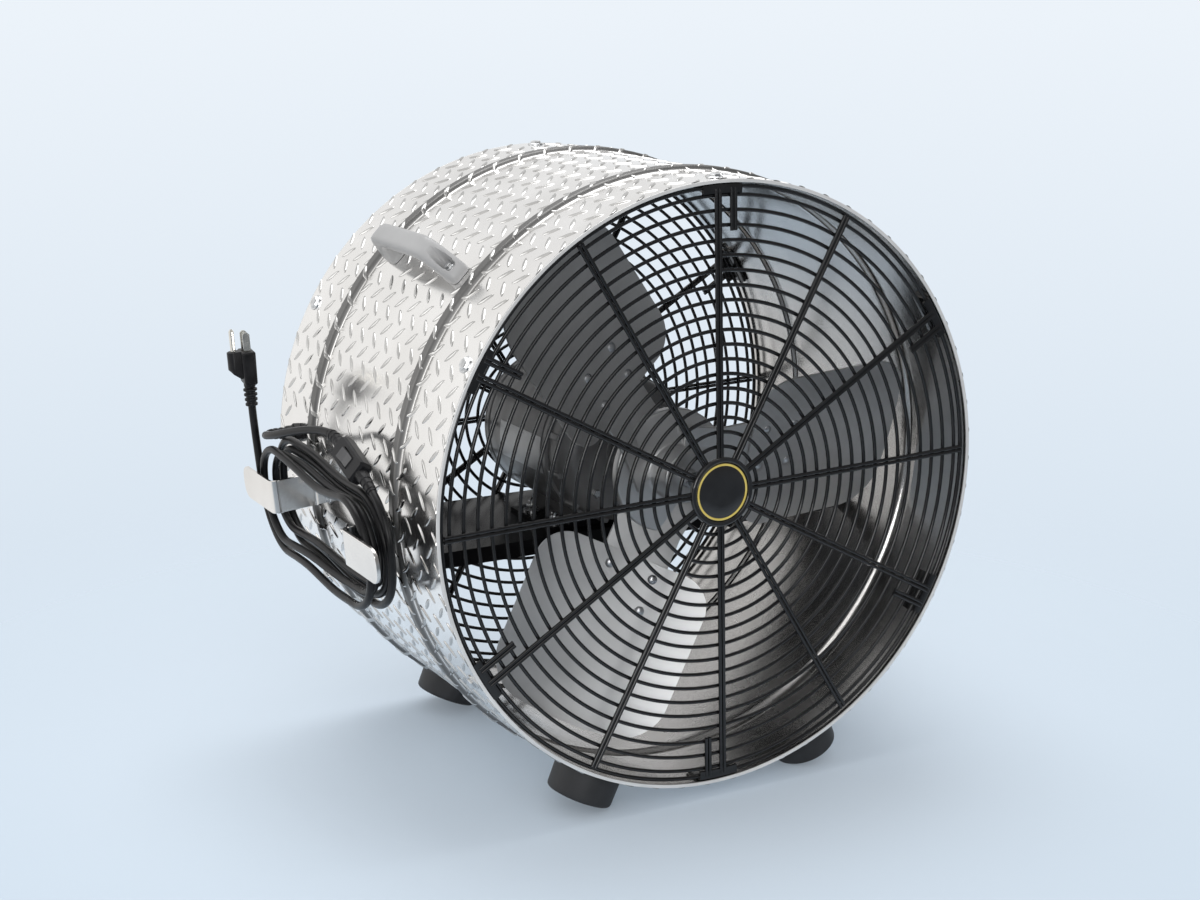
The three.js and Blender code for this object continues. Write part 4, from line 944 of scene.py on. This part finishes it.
def plug():
    """Moulded plug: eased block with a pale thumb window, half-round lobe with a sloping foot
    under the round pin, and a short ribbed relief. The block's width falls towards its foot by
    the root of the height over 12 mm, and the lobe's reach is cut by a sloping line."""
    size, low = (13, 25, 31.5), 15
    half = size[2] / 2
    points, quads = block(size, 2.2, 4)
    share = np.clip((points[:, 2:] + half) / 12, 0, 1)
    points = points * np.where([True, True, False], 0.86 + 0.14 * np.sqrt(share), 1)
    stack = Stack().add(*set_at((points + [0, 0, low + half], quads), PLUG_FOOT, PLUG_AXES))
    sides, lobe_r, lobe_out = 48, 6, 11.9
    c, s = circle(1, sides).T
    lobe = np.stack([(lobe_out + lobe_r * c) * (c > 0), lobe_r * s], 1)
    levels = []
    for z, grow in ((21.3, 0.93), (22.0, 1.0), (26, 1.0), (30, 1.0), (45.9, 1.0), (46.5, 0.93)):
        x, y = (lobe * grow).T
        levels.append(np.column_stack([np.minimum(x, 7.5 + max(z - 21, 0) * 1.35), y, np.full(sides, z)]))
    points = np.concatenate([*levels, [levels[0].mean(0), levels[-1].mean(0)]])
    stack.add(*set_at((points, *tube_faces(len(levels), sides)), PLUG_FOOT, PLUG_AXES))
    relief = [(0, -6)]
    for z in (-6.0, -1.4, 3.2, 7.8):
        rib = 6.0 + z * 0.05
        relief += [(4.4, z), (rib, z + 0.6), (rib, z + 2.6), (4.6, z + 3.2)]
    relief += [(5.4, 13), (5.4, 17), (0, 17)]
    stack.add(*turned_solid(rounded(relief, 0.4, 2), 32, PLUG_AXES, PLUG_FOOT))
    stack.make("moulded_plug", plug_black, "plug_plastic", replaced=("plug_body",), sharp=40)
    window = set_at(block((9.5, 0.8, 12), 0.35, 2), PLUG_FOOT + [0.3, -12.5, 38] @ PLUG_AXES, PLUG_AXES)
    single(window, "plug_window", rocker_grey, "plug_plastic")


plug()


# ======== bracket
def bracket():
    """One bent strip: a rounded section along a path with rounded bends; towards each tab's end
    the width falls as a quarter circle."""
    bends = rounded([[-160, 314.1], [-85.5, 314.1], [-85.5, 271.8], [85.5, 271.8], [85.5, 314.1],
                     [160, 314.1]], [0, 6, 4, 4, 6, 0], 10)
    count, half_wide, corner = 420, 15.5, 12
    path = evenly(np.column_stack([np.zeros(len(bends)), bends]), count)
    along = np.linspace(0, travelled(path)[-1], count)
    half = half_wide - corner_cut(np.minimum(along, along[-1] - along), corner)
    ease = np.array([[-1, -1.0], [-0.97, -1.5], [0.97, -1.5], [1, -1.0], [1, 1.0], [0.97, 1.5], [-0.97, 1.5],
                     [-1, 1.0]])
    body = sweep(path, [1.0, 0, 0], ease * np.stack([half, np.ones(count)], 1)[:, None])
    single(set_at(body, [0, MIDDLE_Y, 0], clock_axes(BRACKET_CLOCK)),
           "bent_bracket", bracket_bright, "bracket_metal", replaced=("cord_bracket",))
    hex_heads("bracket_screws", 3.8, 4.0, 5.4, [(BRACKET_CLOCK, y, 273.2) for y in BRACKET_SCREW_YS])


bracket()
for declare in declared:
    declare()


# ======== carried-over nodes get their finishes
for row in frame["record"]["subparts"]:
    node = frame["nodes"][row["node"]]
    node.data.materials.clear()
    node.data.materials.append(FINISHES[row["material_slot"]])
for name, width in (("cross_channel", 0.0008), ("motor_saddle", 0.001), ("switch_body", 0.0006),
                    ("switch_rocker", 0.0004), ("plug_blade_1", 0.0002), ("plug_blade_2", 0.0002)):
    ease = frame["nodes"][name].modifiers.new("eased_edges", "BEVEL")
    ease.width, ease.segments, ease.limit_method, ease.angle_limit = width, 2, "ANGLE", np.radians(40)
for name in ("cross_channel", "motor_saddle"):
    frame["nodes"][name].data.materials[0] = channel_black


# ======== stage
def stage():
    """A pale floor that fades into a pale blue backdrop, and a soft studio that is bright behind
    and to the left, and dim on the camera's side."""
    mesh = bpy.data.meshes.new("floor")
    mesh.from_pydata([(-4, -4, 0), (4, -4, 0), (4, 4, 0), (-4, 4, 0)], [], [(0, 1, 2, 3)])
    floor = bpy.data.objects.new("floor", mesh)
    bpy.context.scene.collection.objects.link(floor)
    material, nodes, link, shader = shader_tree("pale_floor")
    shader.inputs["Base Color"].default_value = (0.74, 0.83, 0.92, 1)
    shader.inputs["Roughness"].default_value = 0.9
    shader.inputs["Specular IOR Level"].default_value = 0.05
    spot = nodes.new("ShaderNodeTexCoord").outputs["Object"]
    away = worked_out(nodes, link, "ShaderNodeVectorMath", "LENGTH", spot)["Value"]
    link(spread(nodes, link, away, 0.85, 0.0, 0.30, 0.98), shader.inputs["Alpha"])
    mesh.materials.append(material)

    world = bpy.data.worlds.new("studio")
    bpy.context.scene.world = world
    world.use_nodes = True
    nodes, link = world.node_tree.nodes, world.node_tree.links.new
    lit = nodes["Background"]
    lit.inputs["Color"].default_value = (0.97, 0.98, 1.0, 1)
    lit.inputs["Strength"].default_value = 0.52
    seen = nodes.new("ShaderNodeBackground")
    split = nodes.new("ShaderNodeSeparateXYZ")
    link(nodes.new("ShaderNodeTexCoord").outputs["Generated"], split.inputs["Vector"])
    rise = spread(nodes, link, split.outputs["Z"], 0.0, 1.0, -0.45, 0.30)
    backdrop = ramp(nodes, link, rise, [(0.0, (0.604, 0.716, 0.831)), (0.56, (0.84, 0.896, 0.956)),
                                        (0.68, (0.86, 0.88, 0.90)), (1.0, (0.80, 0.80, 0.80))])
    x, y = split.outputs["X"], split.outputs["Y"]
    left = worked_out(nodes, link, "ShaderNodeMath", "MULTIPLY_ADD", x, -0.45, y)["Value"]
    right = worked_out(nodes, link, "ShaderNodeMath", "MULTIPLY_ADD", y, -0.55, x)["Value"]
    paler = nodes.new("ShaderNodeMix")
    paler.data_type = "RGBA"
    link(spread(nodes, link, right, 1.0, 0.0, -0.75, -0.45), paler.inputs[0])
    link(backdrop, paler.inputs[6])
    paler.inputs[7].default_value = (0.88, 0.875, 0.865, 1)
    behind = spread(nodes, link, left, 0.0, 1.0, -0.9, 0.3)
    share = ramp(nodes, link, behind, [(0.0, (0.25, 0.25, 0.25)), (0.5, (0.44, 0.44, 0.44)),
                                       (0.75, (0.66, 0.66, 0.66)), (1.0, (1, 1, 1))])
    shaded = worked_out(nodes, link, "ShaderNodeVectorMath", "MULTIPLY", paler.outputs[2], share)
    link(shaded["Vector"], seen.inputs["Color"])
    rays = nodes.new("ShaderNodeLightPath").outputs
    pick = rays["Is Camera Ray"]
    for name in ("Is Glossy Ray", "Is Transmission Ray"):
        pick = worked_out(nodes, link, "ShaderNodeMath", "MAXIMUM", pick, rays[name])["Value"]
    mix = nodes.new("ShaderNodeMixShader")
    link(pick, mix.inputs["Fac"])
    link(lit.outputs["Background"], mix.inputs[1])
    link(seen.outputs["Background"], mix.inputs[2])
    link(mix.outputs["Shader"], nodes["World Output"].inputs["Surface"])

    def lamp(name, spot, aim, size, power):
        data = bpy.data.lights.new(name, "AREA")
        data.shape, data.size, data.size_y, data.energy = "RECTANGLE", *size, power
        lamp_object = bpy.data.objects.new(name, data)
        bpy.context.scene.collection.objects.link(lamp_object)
        lamp_object.location = spot
        lamp_object.rotation_mode = "QUATERNION"
        lamp_object.rotation_quaternion = (Vector(aim) - Vector(spot)).to_track_quat("-Z", "Y")

    lamp("key_panel", (-1.6, -3.4, 2.6), (0, 0, 0.3), (2.2, 2.2), 26)
    lamp("low_panel", (-1.7, -3.0, 0.85), (0, 0, 0.2), (1.2, 1.1), 26)
    lamp("side_panel", (-3.4, 1.8, 1.3), (0, 0, 0.3), (2.2, 2.2), 14)
    lamp("top_panel", (0.2, 0.6, 3.3), (0, 0, 0.2), (2.6, 2.2), 52)


stage()
bpy.context.scene.view_settings.view_transform = "Standard"
